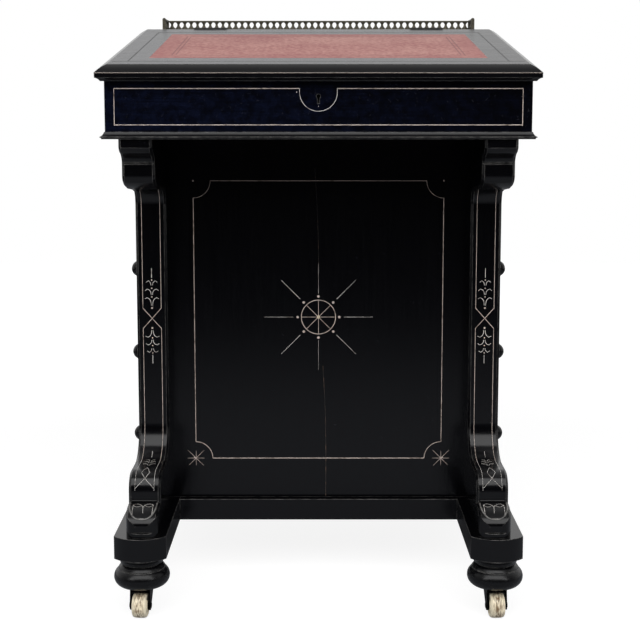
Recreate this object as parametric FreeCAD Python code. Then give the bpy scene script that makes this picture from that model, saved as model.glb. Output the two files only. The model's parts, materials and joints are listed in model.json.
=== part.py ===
import FreeCAD, Part
import math
import os

from FreeCAD import Vector

# Davenport desk: a sloping writing box on a pedestal of four side drawers, with two scroll
# legs, bun feet and castors. Sizes in millimetres. The origin is on the floor under the
# middle, +X is the sitter's right, +Y the back, +Z up.

# Overall sizes
DEPTH = 520.0
BOX_WIDTH = 532.0
TOP_HEIGHT = 785.0
BOX_HEIGHT = 162.0
PLINTH_TOP = 110.0
LID_SLOPE = 10.0
FIXED_TOP_DEPTH = 112.0

# Moulded edge shared by the lid and the fixed top
TOP_THICK = 20.0
TOP_OVERHANG = 9.0
EDGE_WIDTH = 14.0
EDGE_DROP = 8.4
EDGE_LIP = 6.5
EDGE_COVE = 6.0
EDGE_SWELL = 0.8

# Lid and leather
HINGE_LINE_GAP = 0.8
LID_REST_GAP = 0.3
LEATHER_MARGIN = 45.0
LEATHER_TO_EDGE = 71.8
LEATHER_TO_HINGE = 71.0
LEATHER_THICK = 1.0

# Writing box
FRONT_SETBACK = 20.0
BACK_SETBACK = 8.0
FRONT_BOARD = 18.0
SIDE_BOARD = 16.0
BACK_BOARD = 14.0
BOTTOM_BOARD = 12.0
TONGUE = 6.0
MOULD_HEIGHT = 9.0
MOULD_OUT = 6.0
MOULD_NOSE = 3.0
MOULD_FILLET = 1.0
MOULD_UNDERCUT = 2.0
MOULD_SWELL = 0.6
TOP_REST_SETBACK = 2.0

# Gallery on the fixed top
GALLERY_INSET = 24.0
GALLERY_FRONT_SETBACK = 55.0
GALLERY_BACK_SETBACK = 15.0
GALLERY_HEIGHT = 20.0
GALLERY_STRIP = 4.6
GALLERY_BAR = 2.4
GALLERY_POST = 5.0
GALLERY_CAP = 1.4
SPINDLE_PITCH = 10.1
SPINDLE_BELLY = 2.3
SPINDLE_FOOT = 2.0
SPINDLE_NECK = 1.2
SPINDLE_BELLY_AT = 0.36
SPINDLE_NECK_AT = 0.8

# Hinges
HINGE_INSET = 101.0
HINGE_LENGTH = 50.0
HINGE_KNUCKLES = 5
KNUCKLE_RADIUS = 2.4
KNUCKLE_GAP = 0.3
HINGE_PIN_RADIUS = 1.1
LEAF_THICK = 1.2
LEAF_HEIGHT = 16.0

# Lock
LOCK_WIDTH = 56.0
LOCK_SHARE = 0.546
LOCK_DEPTH = 16.0
LOCK_MORTISE = 6.0
LOCK_DROP = 0.8
LOCK_WALL = 3.0
KEYHOLE_SHARE = 0.723
KEYHOLE_RADIUS = 2.6
KEYHOLE_SLOT = 2.4
KEYHOLE_DROP = 9.0
BOLT_LENGTH = 18.0
BOLT_SECTION = 5.0
BOLT_START = 4.0
BOLT_TRAVEL = 9.0
BOLT_GAP = 0.2
BOLT_END_ROOM = 1.5
LINK_PLATE_WIDTH = 40.0
LINK_PLATE_DEPTH = 14.0
LINK_PLATE_THICK = 1.6
LINK_LOOP_WIDTH = 8.5
LINK_LOOP_THICK = 2.0
LINK_LOOP_DROP = 15.0
LINK_SETBACK = 1.0
LINK_WALL = 1.6
LINK_HOLE_GAP = 0.3
LINK_SIDE_ROOM = 1.0
LINK_SWING_ROOM = 3.0
LINK_BACK_ROOM = 0.8
LINK_LOW_ROOM = 2.0

# Till under the fixed top
TILL_BOARD = 7.0
TILL_DRAWER_HEIGHT = 54.0
TILL_BAYS = 3
TILL_SETBACK = 2.0
TILL_SIDE_GAP = 0.5
TILL_TOP_GAP = 0.7
TILL_BACK_GAP = 1.0
TILL_FRONT_BOARD = 9.0
TILL_SIDE_BOARD = 5.0
TILL_KNOB_RADIUS = 6.0
TILL_KNOB_LENGTH = 12.0
TILL_KNOB_TENON = 2.4
TILL_KNOB_COLLAR = 3.6
TILL_KNOB_NECK = 3.0
TILL_KNOB_NECK_AT = 0.45
TILL_KNOB_WIDEST_AT = 0.7

# Pedestal
PED_INSET = 16.0
PED_SETBACK = 205.0
POST_WIDTH = 28.0
POST_DEPTH = 25.0
PANEL_THICK = 12.0
FLOOR_THICK = 8.0
DRAWER_COUNT = 4
BOTTOM_RAIL = 18.5
MIDDLE_RAIL = 10.0
TOP_RAIL = 12.5
RAIL_DEPTH = 18.0
DUMMY_THICK = 12.0
BACKING_THICK = 8.0
RUNNER_HEIGHT = 8.0
RUNNER_LEDGE = 12.0
GUIDE_HEIGHT = 15.0
GUIDE_GAP = 0.5

# Drawers
DRAWER_GAP = 1.0
DRAWER_RUN_GAP = 0.3
DRAWER_FRONT_THICK = 18.0
DRAWER_SIDE_THICK = 8.0
DRAWER_LAP = 9.0
DRAWER_BACK_GAP = 14.0
DRAWER_BOTTOM_THICK = 6.0
DRAWER_BOTTOM_RISE = 5.0
DRAWER_SIDE_DROP = 6.0
FRONT_EDGE_CHAMFER = 1.2
KNOB_INSET = 55.0
KNOB_RADIUS = 11.0
KNOB_LENGTH = 24.0
KNOB_NECK = 5.0
KNOB_COLLAR = 7.5
KNOB_TENON = 4.0
KNOB_TENON_ROOM = 2.0
KNOB_COLLAR_THICK = 2.0
KNOB_HOLLOW = 1.0
KNOB_SWELL = 1.6
KNOB_NECK_FROM = 0.36
KNOB_NECK_TO = 0.5
KNOB_WIDEST_AT = 0.68

# Scroll legs: setbacks from the lid's front edge, heights from the leg's top and foot
LEG_THICK = 42.0
LEG_CHAMFER = 3.0
CORBEL_SETBACK = 20.0
CORBEL_FASCIA = 11.0
CORBEL_STEP = 26.0
CORBEL_OGEE_DROP = 18.0
CORBEL_OGEE_SWELL = 1.5
CORBEL_BLOCK = 17.0
CORBEL_ROUND = 12.0
CORBEL_SWEEP = 64.0
CORBEL_TURN = 60.0
CORBEL_FALL = 5.0
COVE_RADIUS = 20.0
SHAFT_SETBACK = 161.0
SWEEP_RADIUS = 43.0
BELLY_SETBACK = 53.5
BELLY_RADIUS = 24.5
BELLY_TOP = 75.0
TOE_SETBACK = 16.0
TOE_TOP = 38.0
TOE_STEP = 3.5
TOE_NOSE = 14.0
TOE_SHOULDER = 24.0
TOE_SWELL = 3.5
TOE_NOSE_SWELL = 1.2
TOE_CORNER = 13.0
TOE_CORNER_SWELL = 0.25
GROOVE_DEPTH = 2.0
TOE_GROOVE = 7.0

# Plinth
PLINTH_THICK = 30.0
ARM_WIDTH = 68.0
ARM_SETBACK = 10.0
ARM_BOW = 16.0
ARM_BACK_SETBACK = 4.0
PLINTH_RAIL_SETBACK = 193.0
PLINTH_RAIL_WIDTH = 40.0
PLINTH_TENON = 18.0
PLINTH_TENON_THICK = 12.0

# Bun feet
FOOT_INSET = 41.0
FOOT_BOTTOM = 42.0
FOOT_RADIUS = 36.5
FOOT_ROUND = 13.0
FOOT_WIDEST = 53.5
FOOT_RING = 30.5
FOOT_RING_HEIGHT = 1.2
FOOT_NECK = 25.0
FOOT_NECK_HEIGHT = 2.0
FOOT_NECK_HOLLOW = 0.6
FOOT_COLLAR = 31.0
FOOT_COLLAR_LOW = 28.0
FOOT_COLLAR_HEIGHT = 7.5
FOOT_COLLAR_EDGE = 1.0
FOOT_COLLAR_SWELL = 0.6
SPIGOT_RADIUS = 10.0
SPIGOT_LENGTH = 18.0
SPIGOT_ROOM = 1.0

# Castors
WHEEL_RADIUS = 16.5
WHEEL_WIDTH = 20.0
WHEEL_ROUND = 4.0
WHEEL_DISH = 1.8
WHEEL_HUB = 0.36
WHEEL_HUB_FOOT = 0.46
WHEEL_RIM_FOOT = 0.82
WHEEL_RIM = 0.92
CASTOR_TRAIL = 12.3
SOCKET_RADIUS = 19.0
SOCKET_THICK = 2.5
PIVOT_RADIUS = 3.5
PIVOT_INSERT = 16.0
PIVOT_HEAD_RADIUS = 4.2
PIVOT_HEAD_THICK = 1.7
CROWN_THICK = 5.3
CROWN_GAP = 0.3
CROWN_TAIL = 8.0
CROWN_LEAD = 3.0
CHEEK_THICK = 2.6
CHEEK_GAP = 0.7
CHEEK_BOSS = 6.5
AXLE_RADIUS = 2.5
AXLE_HEAD_RADIUS = 3.8
AXLE_HEAD_THICK = 1.0
FRONT_CASTOR_TURN = 4.0
BACK_CASTOR_TURN = 20.0

# Fit of pins in their holes
FIT = 0.05

# Positions that follow from the sizes
SLOPE = math.radians(LID_SLOPE)
FRONT = -DEPTH / 2
BACK = DEPTH / 2
TOP_HALF = BOX_WIDTH / 2 + TOP_OVERHANG
TOP_UNDER = TOP_HEIGHT - TOP_THICK
HINGE_Y = BACK - FIXED_TOP_DEPTH
LID_RUN = (HINGE_Y - FRONT + EDGE_DROP * math.sin(SLOPE)) / math.cos(SLOPE)
LEATHER_WIDTH = 2 * (TOP_HALF - EDGE_WIDTH - LEATHER_MARGIN)
LEATHER_LENGTH = LID_RUN - LEATHER_TO_HINGE - LEATHER_TO_EDGE
BOX_HALF = BOX_WIDTH / 2
BOX_BOTTOM = TOP_HEIGHT - BOX_HEIGHT
BOX_FRONT = FRONT + FRONT_SETBACK
BOX_BACK = BACK - BACK_SETBACK
IN_HALF = BOX_HALF - SIDE_BOARD
IN_FRONT = BOX_FRONT + FRONT_BOARD
IN_BACK = BOX_BACK - BACK_BOARD
IN_FLOOR = BOX_BOTTOM + BOTTOM_BOARD
PED_HALF = BOX_HALF - PED_INSET
PED_FRONT = FRONT + PED_SETBACK
PED_BACK = BOX_BACK
PANEL_HALF = PED_HALF - POST_WIDTH
BAY_FRONT = PED_FRONT + POST_DEPTH
BAY_BACK = PED_BACK - POST_DEPTH
OPENING = (BOX_BOTTOM - PLINTH_TOP - BOTTOM_RAIL - TOP_RAIL
           - (DRAWER_COUNT - 1) * MIDDLE_RAIL) / DRAWER_COUNT
BACKING_X = -PED_HALF + DUMMY_THICK
PLINTH_BOTTOM = PLINTH_TOP - PLINTH_THICK
CORBEL_NECK = BOX_BOTTOM - CORBEL_FASCIA - CORBEL_OGEE_DROP
CORBEL_LOW = CORBEL_NECK - CORBEL_BLOCK
CORBEL_SWEEP_RISE = (CORBEL_SWEEP - CORBEL_ROUND) * math.sin(math.radians(CORBEL_TURN))
CORBEL_SWEEP_REACH = (CORBEL_SWEEP - CORBEL_ROUND) * math.cos(math.radians(CORBEL_TURN))
CORBEL_UNDER = CORBEL_LOW + CORBEL_SWEEP_RISE - CORBEL_SWEEP
ARM_CENTRE = BOX_HALF - ARM_WIDTH / 2
ARM_INNER = BOX_HALF - ARM_WIDTH
FOOT_Y = DEPTH / 2 - FOOT_INSET
CROWN_TOP = FOOT_BOTTOM - SOCKET_THICK - CROWN_GAP
CROWN_BOTTOM = CROWN_TOP - CROWN_THICK
CHEEK_IN = WHEEL_WIDTH / 2 + CHEEK_GAP
CHEEK_OUT = CHEEK_IN + CHEEK_THICK
GALLERY_HALF = BOX_HALF - GALLERY_INSET
GALLERY_FRONT = HINGE_Y + GALLERY_FRONT_SETBACK
GALLERY_BACK = BACK - GALLERY_BACK_SETBACK
TILL_FRONT = HINGE_Y
TILL_SHELF = IN_FLOOR + TILL_DRAWER_HEIGHT
TILL_PARTITION_X = IN_HALF / TILL_BAYS
LOCK_Y = IN_FRONT - LOCK_MORTISE
LINK_Y = LOCK_Y + LOCK_DEPTH / 2 + LINK_SETBACK
HINGE_X = BOX_HALF - HINGE_INSET

CASTORS = {
    "fl": (-ARM_CENTRE, -FOOT_Y, -90.0 - FRONT_CASTOR_TURN),
    "fr": (ARM_CENTRE, -FOOT_Y, -90.0 + FRONT_CASTOR_TURN),
    "rl": (-ARM_CENTRE, FOOT_Y, 90.0 + BACK_CASTOR_TURN),
    "rr": (ARM_CENTRE, FOOT_Y, 90.0 - BACK_CASTOR_TURN),
}


def lid_under(y):
    """Height of the closed lid's underside at a depth y."""
    top = TOP_HEIGHT - (HINGE_Y - y) * math.tan(SLOPE)
    return top - TOP_THICK / math.cos(SLOPE)


# The lock and its keyhole take their shares of the front board's height
FRONT_HEIGHT = lid_under(BOX_FRONT) - BOX_BOTTOM
LOCK_HEIGHT = LOCK_SHARE * FRONT_HEIGHT
KEYHOLE_HEIGHT = BOX_BOTTOM + KEYHOLE_SHARE * FRONT_HEIGHT


def opening_floor(index):
    """Height of the floor of a drawer opening, counted from the lowest."""
    return PLINTH_TOP + BOTTOM_RAIL + index * (OPENING + MIDDLE_RAIL)


def box(x0, x1, y0, y1, z0, z1):
    return Part.makeBox(x1 - x0, y1 - y0, z1 - z0, Vector(x0, y0, z0))


def rod(radius, start, end):
    return Part.makeCylinder(radius, (end - start).Length, start, end - start)


def fuse(first, *others):
    return first.fuse(list(others)).removeSplitter()


def both_sides(shape):
    """A shape and its mirror image across the middle of the desk."""
    return [shape, shape.mirror(Vector(0, 0, 0), Vector(1, 0, 0))]


def side_view(x):
    return lambda y, z: Vector(x, y, z)


def plan_view(z):
    return lambda x, y: Vector(x, y, z)


class Outline:
    """A closed outline of lines and arcs, drawn in the plane that the view gives."""

    def __init__(self, view, start):
        self.view = view
        self.first = start
        self.last = start
        self.edges = []

    def line(self, *points):
        for point in points:
            self.edges.append(Part.makeLine(self.view(*self.last), self.view(*point)))
            self.last = point
        return self

    def arc(self, through, end):
        ends = [self.view(*p) for p in (self.last, through, end)]
        self.edges.append(Part.Arc(*ends).toShape())
        self.last = end
        return self

    def bulge(self, end, height):
        """An arc to end that swells by height to the left of the way there."""
        da = end[0] - self.last[0]
        db = end[1] - self.last[1]
        length = math.hypot(da, db)
        middle = ((self.last[0] + end[0]) / 2, (self.last[1] + end[1]) / 2)
        through = (middle[0] - db / length * height, middle[1] + da / length * height)
        return self.arc(through, end)

    def turn(self, centre, degrees):
        """An arc about a centre by an angle, positive to the left."""
        a = self.last[0] - centre[0]
        b = self.last[1] - centre[1]

        def at(angle):
            c = math.cos(math.radians(angle))
            s = math.sin(math.radians(angle))
            return (centre[0] + a * c - b * s, centre[1] + a * s + b * c)

        return self.arc(at(degrees / 2), at(degrees))

    def dome(self, tip):
        """A spherical cap from the last point, (radius, height), to a tip on the axis."""
        r, h = self.last
        centre = (tip ** 2 - h ** 2 - r ** 2) / (2 * (tip - h))
        a = r
        b = h - centre + tip - centre
        scale = abs(tip - centre) / math.hypot(a, b)
        return self.arc((a * scale, centre + b * scale), (0, tip))

    def face(self):
        if self.last != self.first:
            self.line(self.first)
        return Part.Face(Part.Wire(self.edges))

    def prism(self, along):
        return self.face().extrude(along)

    def lathe(self, base, axis):
        return self.face().revolve(base, axis, 360)


def save(name, *solids):
    shape = solids[0] if len(solids) == 1 else Part.makeCompound(list(solids))
    shape.exportStep("parts/" + name + ".step")


def moulded_slab():
    """A wide slab with its top at z = 0 and the moulded edge along y = 0."""
    o = Outline(side_view(-DEPTH), (0, -EDGE_DROP))
    o.line((0, -EDGE_DROP - EDGE_LIP))
    o.bulge((EDGE_COVE, -TOP_THICK), EDGE_SWELL)
    o.line((2 * DEPTH, -TOP_THICK), (2 * DEPTH, 0), (EDGE_WIDTH, 0))
    o.bulge((0, -EDGE_DROP), -EDGE_SWELL)
    return o.prism(Vector(2 * DEPTH, 0, 0))


def ends_slab():
    """A slab with the moulded edge on its left and right ends only."""
    right = moulded_slab()
    right.rotate(Vector(0, 0, 0), Vector(0, 0, 1), 90)
    right.translate(Vector(TOP_HALF, 0, 0))
    left = right.mirror(Vector(0, 0, 0), Vector(1, 0, 0))
    return right.common(left)


def mitre(half, front, reach, z0, z1):
    """A trapezoid block in plan that takes the front run of a frame up to its mitres."""
    o = Outline(plan_view(z0), (-half - reach, front - reach))
    o.line((half + reach, front - reach), (half - reach, front + reach))
    o.line((-half + reach, front + reach))
    return o.prism(Vector(0, 0, z1 - z0))


def hinge_parts(x):
    """One butt hinge about the hinge line: the fixed leaf, the lid's leaf and the pin."""
    pitch = HINGE_LENGTH / HINGE_KNUCKLES
    leaves = []
    for side in (1, -1):
        near = side * HINGE_LINE_GAP / 2
        far = near + side * LEAF_THICK
        leaf = box(x - HINGE_LENGTH / 2, x + HINGE_LENGTH / 2, HINGE_Y + min(near, far),
                   HINGE_Y + max(near, far), TOP_HEIGHT - LEAF_HEIGHT, TOP_HEIGHT)
        for n in range(HINGE_KNUCKLES):
            start = x - HINGE_LENGTH / 2 + n * pitch
            own = n % 2 == (0 if side > 0 else 1)
            trim = -KNUCKLE_GAP / 2 if own else KNUCKLE_GAP / 2
            radius = KNUCKLE_RADIUS if own else KNUCKLE_RADIUS + KNUCKLE_GAP
            knuckle = rod(radius, Vector(start - trim, HINGE_Y, TOP_HEIGHT),
                          Vector(start + pitch + trim, HINGE_Y, TOP_HEIGHT))
            leaf = fuse(leaf, knuckle) if own else leaf.cut(knuckle)
        bore = rod(HINGE_PIN_RADIUS + FIT, Vector(x - HINGE_LENGTH, HINGE_Y, TOP_HEIGHT),
                   Vector(x + HINGE_LENGTH, HINGE_Y, TOP_HEIGHT))
        leaves.append(leaf.cut(bore))
    pin = rod(HINGE_PIN_RADIUS, Vector(x - HINGE_LENGTH / 2, HINGE_Y, TOP_HEIGHT),
              Vector(x + HINGE_LENGTH / 2, HINGE_Y, TOP_HEIGHT))
    return leaves[0], leaves[1], pin


def hinge_room(x):
    """The room that a hinge needs in the edges on both sides of the hinge line."""
    half = HINGE_LENGTH / 2
    reach = HINGE_LINE_GAP / 2 + LEAF_THICK
    leaf = box(x - half, x + half, HINGE_Y - reach, HINGE_Y + reach,
               TOP_HEIGHT - LEAF_HEIGHT, TOP_HEIGHT + TOP_THICK)
    knuckle = rod(KNUCKLE_RADIUS + KNUCKLE_GAP, Vector(x - half, HINGE_Y, TOP_HEIGHT),
                  Vector(x + half, HINGE_Y, TOP_HEIGHT))
    return leaf.fuse(knuckle)


def to_lid(shape):
    """Carries a shape drawn flat, hinge line at the origin, to the closed lid's slope."""
    shape.rotate(Vector(0, 0, 0), Vector(1, 0, 0), LID_SLOPE)
    shape.translate(Vector(0, HINGE_Y, TOP_HEIGHT))
    return shape


def build_lid():
    front = moulded_slab()
    front.translate(Vector(0, -LID_RUN, 0))
    slab = front.common(ends_slab())
    inner = TOP_HALF - EDGE_WIDTH
    core = box(-inner, inner, -LID_RUN + EDGE_WIDTH, DEPTH, -TOP_THICK, 0)
    board = slab.common(core)
    edging = slab.cut(core)
    wedge = mitre(TOP_HALF, -LID_RUN, 2 * EDGE_WIDTH, -2 * TOP_THICK, TOP_THICK)
    half_leather = LEATHER_WIDTH / 2
    leather = box(-half_leather, half_leather, -LEATHER_TO_HINGE - LEATHER_LENGTH,
                  -LEATHER_TO_HINGE, -LEATHER_THICK, 0)
    board = to_lid(board.cut(leather))
    runs = [to_lid(edging.common(wedge))] + [to_lid(s) for s in edging.cut(wedge).Solids]
    behind = box(-DEPTH, DEPTH, HINGE_Y - HINGE_LINE_GAP / 2, 2 * DEPTH, 0, 2 * TOP_HEIGHT)
    board = board.cut(behind)
    runs = [run.cut(behind) for run in runs]
    leaves = []
    for x in (-HINGE_X, HINGE_X):
        board = board.cut(hinge_room(x))
        leaves.append(hinge_parts(x)[1])
    plate, loop = link_parts()
    board = board.cut(plate)
    save("lid_board", board)
    save("lid_edging", *runs)
    save("lid_leather", to_lid(leather))
    save("hinge_lid_leaves", *leaves)
    save("lock_link", fuse(plate, loop))


def link_parts():
    """The lock's link: a plate let into the lid's underside, and the loop that hangs from it."""
    under = -TOP_THICK
    reach = (HINGE_Y - LINK_Y + TOP_THICK * math.sin(SLOPE)) / math.cos(SLOPE)
    plate = box(-LINK_PLATE_WIDTH / 2, LINK_PLATE_WIDTH / 2, -reach - LINK_PLATE_DEPTH / 2,
                -reach + LINK_PLATE_DEPTH / 2, under, under + LINK_PLATE_THICK)
    plate = to_lid(plate)
    loop = box(-LINK_LOOP_THICK / 2, LINK_LOOP_THICK / 2, LINK_Y - LINK_LOOP_WIDTH / 2,
               LINK_Y + LINK_LOOP_WIDTH / 2, loop_end(), loop_end() + LINK_LOOP_DROP)
    hole = bolt_channel(-LOCK_WIDTH, LOCK_WIDTH, LINK_HOLE_GAP)
    return plate, loop.cut(hole)


def loop_end():
    """Height of the lower end of the link's loop."""
    return lid_under(LINK_Y) + LINK_PLATE_THICK / 2 - LINK_LOOP_DROP


def bolt_height():
    """Height of the bolt's middle, in the hole of the link's loop."""
    return loop_end() + LINK_WALL + LINK_HOLE_GAP + BOLT_SECTION / 2


def bolt_channel(x0, x1, clearance):
    half = BOLT_SECTION / 2 + clearance
    z = bolt_height()
    return box(x0, x1, LINK_Y - half, LINK_Y + half, z - half, z + half)


def build_lock():
    top = lid_under(BOX_FRONT) - LOCK_DROP
    case = box(-LOCK_WIDTH / 2, LOCK_WIDTH / 2, LOCK_Y, LOCK_Y + LOCK_DEPTH,
               top - LOCK_HEIGHT, top)
    room = LINK_LOOP_THICK / 2 + LINK_SIDE_ROOM
    half = LINK_LOOP_WIDTH / 2
    pocket = box(-room, room, LINK_Y - half - LINK_SWING_ROOM, LINK_Y + half + LINK_BACK_ROOM,
                 loop_end() - LINK_LOW_ROOM, TOP_HEIGHT)
    channel = bolt_channel(BOLT_START - BOLT_TRAVEL - BOLT_END_ROOM,
                           BOLT_START + BOLT_LENGTH + BOLT_END_ROOM, BOLT_GAP)
    case = case.cut(pocket).cut(channel).cut(keyhole(BOX_FRONT, LOCK_Y + LOCK_WALL))
    bolt = bolt_channel(BOLT_START, BOLT_START + BOLT_LENGTH, 0.0)
    save("lock_case", case)
    save("lock_bolt", bolt)
    return box(-LOCK_WIDTH / 2, LOCK_WIDTH / 2, LOCK_Y, LOCK_Y + LOCK_DEPTH,
               top - LOCK_HEIGHT, TOP_HEIGHT)


def keyhole(y0, y1):
    eye = rod(KEYHOLE_RADIUS, Vector(0, y0, KEYHOLE_HEIGHT), Vector(0, y1, KEYHOLE_HEIGHT))
    slot = box(-KEYHOLE_SLOT / 2, KEYHOLE_SLOT / 2, y0, y1,
               KEYHOLE_HEIGHT - KEYHOLE_DROP, KEYHOLE_HEIGHT)
    return eye.fuse(slot)


def build_box():
    lock_room = build_lock()
    o = Outline(side_view(-BOX_HALF), (BOX_FRONT, BOX_BOTTOM))
    o.line((IN_FRONT, BOX_BOTTOM), (IN_FRONT, lid_under(IN_FRONT) - LID_REST_GAP))
    o.line((BOX_FRONT, lid_under(BOX_FRONT) - LID_REST_GAP))
    front = o.prism(Vector(BOX_WIDTH, 0, 0)).cut(keyhole(BOX_FRONT, IN_FRONT))
    front = front.cut(lock_room)

    o = Outline(side_view(IN_HALF), (IN_FRONT, BOX_BOTTOM))
    o.line((IN_BACK, BOX_BOTTOM), (IN_BACK, TOP_UNDER),
           (HINGE_Y + TOP_REST_SETBACK, TOP_UNDER))
    o.line((HINGE_Y, lid_under(HINGE_Y) - LID_REST_GAP))
    o.line((IN_FRONT, lid_under(IN_FRONT) - LID_REST_GAP))
    side = o.prism(Vector(SIDE_BOARD, 0, 0))
    middle = IN_HALF + SIDE_BOARD / 2
    tongue = box(middle - TONGUE / 2, middle + TONGUE / 2, IN_FRONT - TONGUE, IN_FRONT,
                 BOX_BOTTOM, lid_under(IN_FRONT - TONGUE) - 2 * TONGUE)
    right, left = both_sides(fuse(side, tongue))
    for groove in both_sides(tongue):
        front = front.cut(groove)
    save("desk_front", front)
    save("desk_side_right", right)
    save("desk_side_left", left)
    save("desk_back", box(-BOX_HALF, BOX_HALF, IN_BACK, BOX_BACK, BOX_BOTTOM, TOP_UNDER))
    save("desk_bottom", box(-IN_HALF, IN_HALF, IN_FRONT, IN_BACK, BOX_BOTTOM, IN_FLOOR))

    top = ends_slab()
    top.translate(Vector(0, 0, TOP_HEIGHT))
    top = top.common(box(-DEPTH, DEPTH, HINGE_Y + HINGE_LINE_GAP / 2, BACK,
                         TOP_UNDER, TOP_HEIGHT))
    leaves = []
    pins = []
    for x in (-HINGE_X, HINGE_X):
        top = top.cut(hinge_room(x))
        leaf, _, pin = hinge_parts(x)
        leaves.append(leaf)
        pins.append(pin)
    save("fixed_top", top)
    save("hinge_fixed_leaves", *leaves)
    save("hinge_pins", *pins)


def base_run():
    """One straight length of the box's base moulding, its back on y = 0."""
    o = Outline(side_view(-DEPTH), (0, BOX_BOTTOM))
    o.line((0, BOX_BOTTOM + MOULD_HEIGHT), (-MOULD_FILLET, BOX_BOTTOM + MOULD_HEIGHT))
    o.bulge((-MOULD_OUT, BOX_BOTTOM + MOULD_NOSE), MOULD_FILLET)
    o.line((-MOULD_OUT, BOX_BOTTOM + MOULD_NOSE - MOULD_FILLET))
    o.bulge((-MOULD_OUT + MOULD_UNDERCUT, BOX_BOTTOM), MOULD_SWELL)
    return o.prism(Vector(2 * DEPTH, 0, 0))


def build_moulding():
    front = base_run()
    front.translate(Vector(0, BOX_FRONT, 0))
    wedge = mitre(BOX_HALF, BOX_FRONT, 2 * MOULD_OUT, 0,
                  TOP_HEIGHT)
    right = base_run()
    right.rotate(Vector(0, 0, 0), Vector(0, 0, 1), 90)
    right.translate(Vector(BOX_HALF, 0, 0))
    right = right.common(box(0, DEPTH, BOX_FRONT - MOULD_OUT, BOX_BACK, BOX_BOTTOM, TOP_HEIGHT))
    right = right.cut(wedge)
    save("desk_moulding", front.common(wedge), *both_sides(right))


def spindle(x, y):
    low = TOP_HEIGHT + GALLERY_BAR
    height = GALLERY_HEIGHT - 2 * GALLERY_BAR
    o = Outline(lambda r, z: Vector(x + r, y, z), (0, low))
    o.line((SPINDLE_FOOT, low), (SPINDLE_BELLY, low + SPINDLE_BELLY_AT * height))
    o.line((SPINDLE_NECK, low + SPINDLE_NECK_AT * height), (SPINDLE_FOOT, low + height))
    o.line((0, low + height))
    return o.lathe(Vector(x, y, low), Vector(0, 0, 1))


def gallery_post(x, y):
    half = GALLERY_POST / 2
    top = TOP_HEIGHT + GALLERY_HEIGHT
    block = box(x - half, x + half, y - half, y + half, TOP_HEIGHT, top)
    o = Outline(lambda r, z: Vector(x + r, y, z), (0, top))
    o.line((half, top))
    o.dome(top + GALLERY_CAP)
    return fuse(block, o.lathe(Vector(x, y, top), Vector(0, 0, 1)))


def build_gallery():
    gap = GALLERY_POST / 2
    half = GALLERY_STRIP / 2
    levels = (TOP_HEIGHT, TOP_HEIGHT + GALLERY_HEIGHT - GALLERY_BAR)
    strips = []
    for z in levels:
        strips.append(box(-GALLERY_HALF + gap, GALLERY_HALF - gap, GALLERY_BACK - half,
                          GALLERY_BACK + half, z, z + GALLERY_BAR))
        strips += both_sides(box(GALLERY_HALF - half, GALLERY_HALF + half, GALLERY_FRONT + gap,
                                 GALLERY_BACK - gap, z, z + GALLERY_BAR))
    back_run = 2 * GALLERY_HALF - GALLERY_POST
    count = round(back_run / SPINDLE_PITCH)
    step = back_run / count
    spindles = [spindle(-back_run / 2 + (n + 0.5) * step, GALLERY_BACK) for n in range(count)]
    side_run = GALLERY_BACK - GALLERY_FRONT - GALLERY_POST
    count = round(side_run / SPINDLE_PITCH)
    step = side_run / count
    for n in range(count):
        spindles += both_sides(spindle(GALLERY_HALF, GALLERY_FRONT + gap + (n + 0.5) * step))
    posts = both_sides(gallery_post(GALLERY_HALF, GALLERY_FRONT))
    posts += both_sides(gallery_post(GALLERY_HALF, GALLERY_BACK))
    save("gallery_strips", *strips)
    save("gallery_spindles", *spindles)
    save("gallery_posts", *posts)


def build_till():
    half = TILL_BOARD / 2
    shelf = box(-IN_HALF, IN_HALF, TILL_FRONT, IN_BACK, TILL_SHELF, TILL_SHELF + TILL_BOARD)
    divider = box(-half, half, TILL_FRONT, IN_BACK, IN_FLOOR, TILL_SHELF)
    partition = box(TILL_PARTITION_X - half, TILL_PARTITION_X + half,
                    TILL_FRONT + TILL_SETBACK, IN_BACK, TILL_SHELF + TILL_BOARD, TOP_UNDER)
    save("till_case", shelf, divider, *both_sides(partition))

    x0 = half + TILL_SIDE_GAP
    x1 = IN_HALF - TILL_SIDE_GAP
    z0 = IN_FLOOR + DRAWER_RUN_GAP
    z1 = TILL_SHELF - TILL_TOP_GAP
    back = IN_BACK - TILL_BACK_GAP
    inner = TILL_FRONT + TILL_FRONT_BOARD
    side = TILL_SIDE_BOARD
    front = box(x0, x1, TILL_FRONT, inner, z0, z1)
    boards = [
        box(x0, x0 + side, inner, back, z0, z1 - side),
        box(x1 - side, x1, inner, back, z0, z1 - side),
        box(x0 + side, x1 - side, back - side, back, z0, z1 - side),
        box(x0 + side, x1 - side, inner, back - side, z0, z0 + side),
    ]
    x = (x0 + x1) / 2
    z = (z0 + z1) / 2
    o = Outline(lambda r, y: Vector(x + r, y, z), (0, inner))
    o.line((TILL_KNOB_TENON, inner), (TILL_KNOB_TENON, TILL_FRONT), (TILL_KNOB_COLLAR, TILL_FRONT))
    o.line((TILL_KNOB_NECK, TILL_FRONT - TILL_KNOB_NECK_AT * TILL_KNOB_LENGTH))
    o.line((TILL_KNOB_RADIUS, TILL_FRONT - TILL_KNOB_WIDEST_AT * TILL_KNOB_LENGTH))
    o.dome(TILL_FRONT - TILL_KNOB_LENGTH)
    knob = o.lathe(Vector(x, 0, z), Vector(0, 1, 0))
    hole = rod(TILL_KNOB_TENON, Vector(x, TILL_FRONT, z), Vector(x, inner, z))
    solids = [front.cut(hole)] + boards + [knob]
    mirrored = [both_sides(s)[1] for s in solids]
    save("till_drawer_right", *solids)
    save("till_drawer_left", *mirrored)


def post(x0, y0):
    return box(x0, x0 + POST_WIDTH, y0, y0 + POST_DEPTH, PLINTH_TOP, BOX_BOTTOM)


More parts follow.
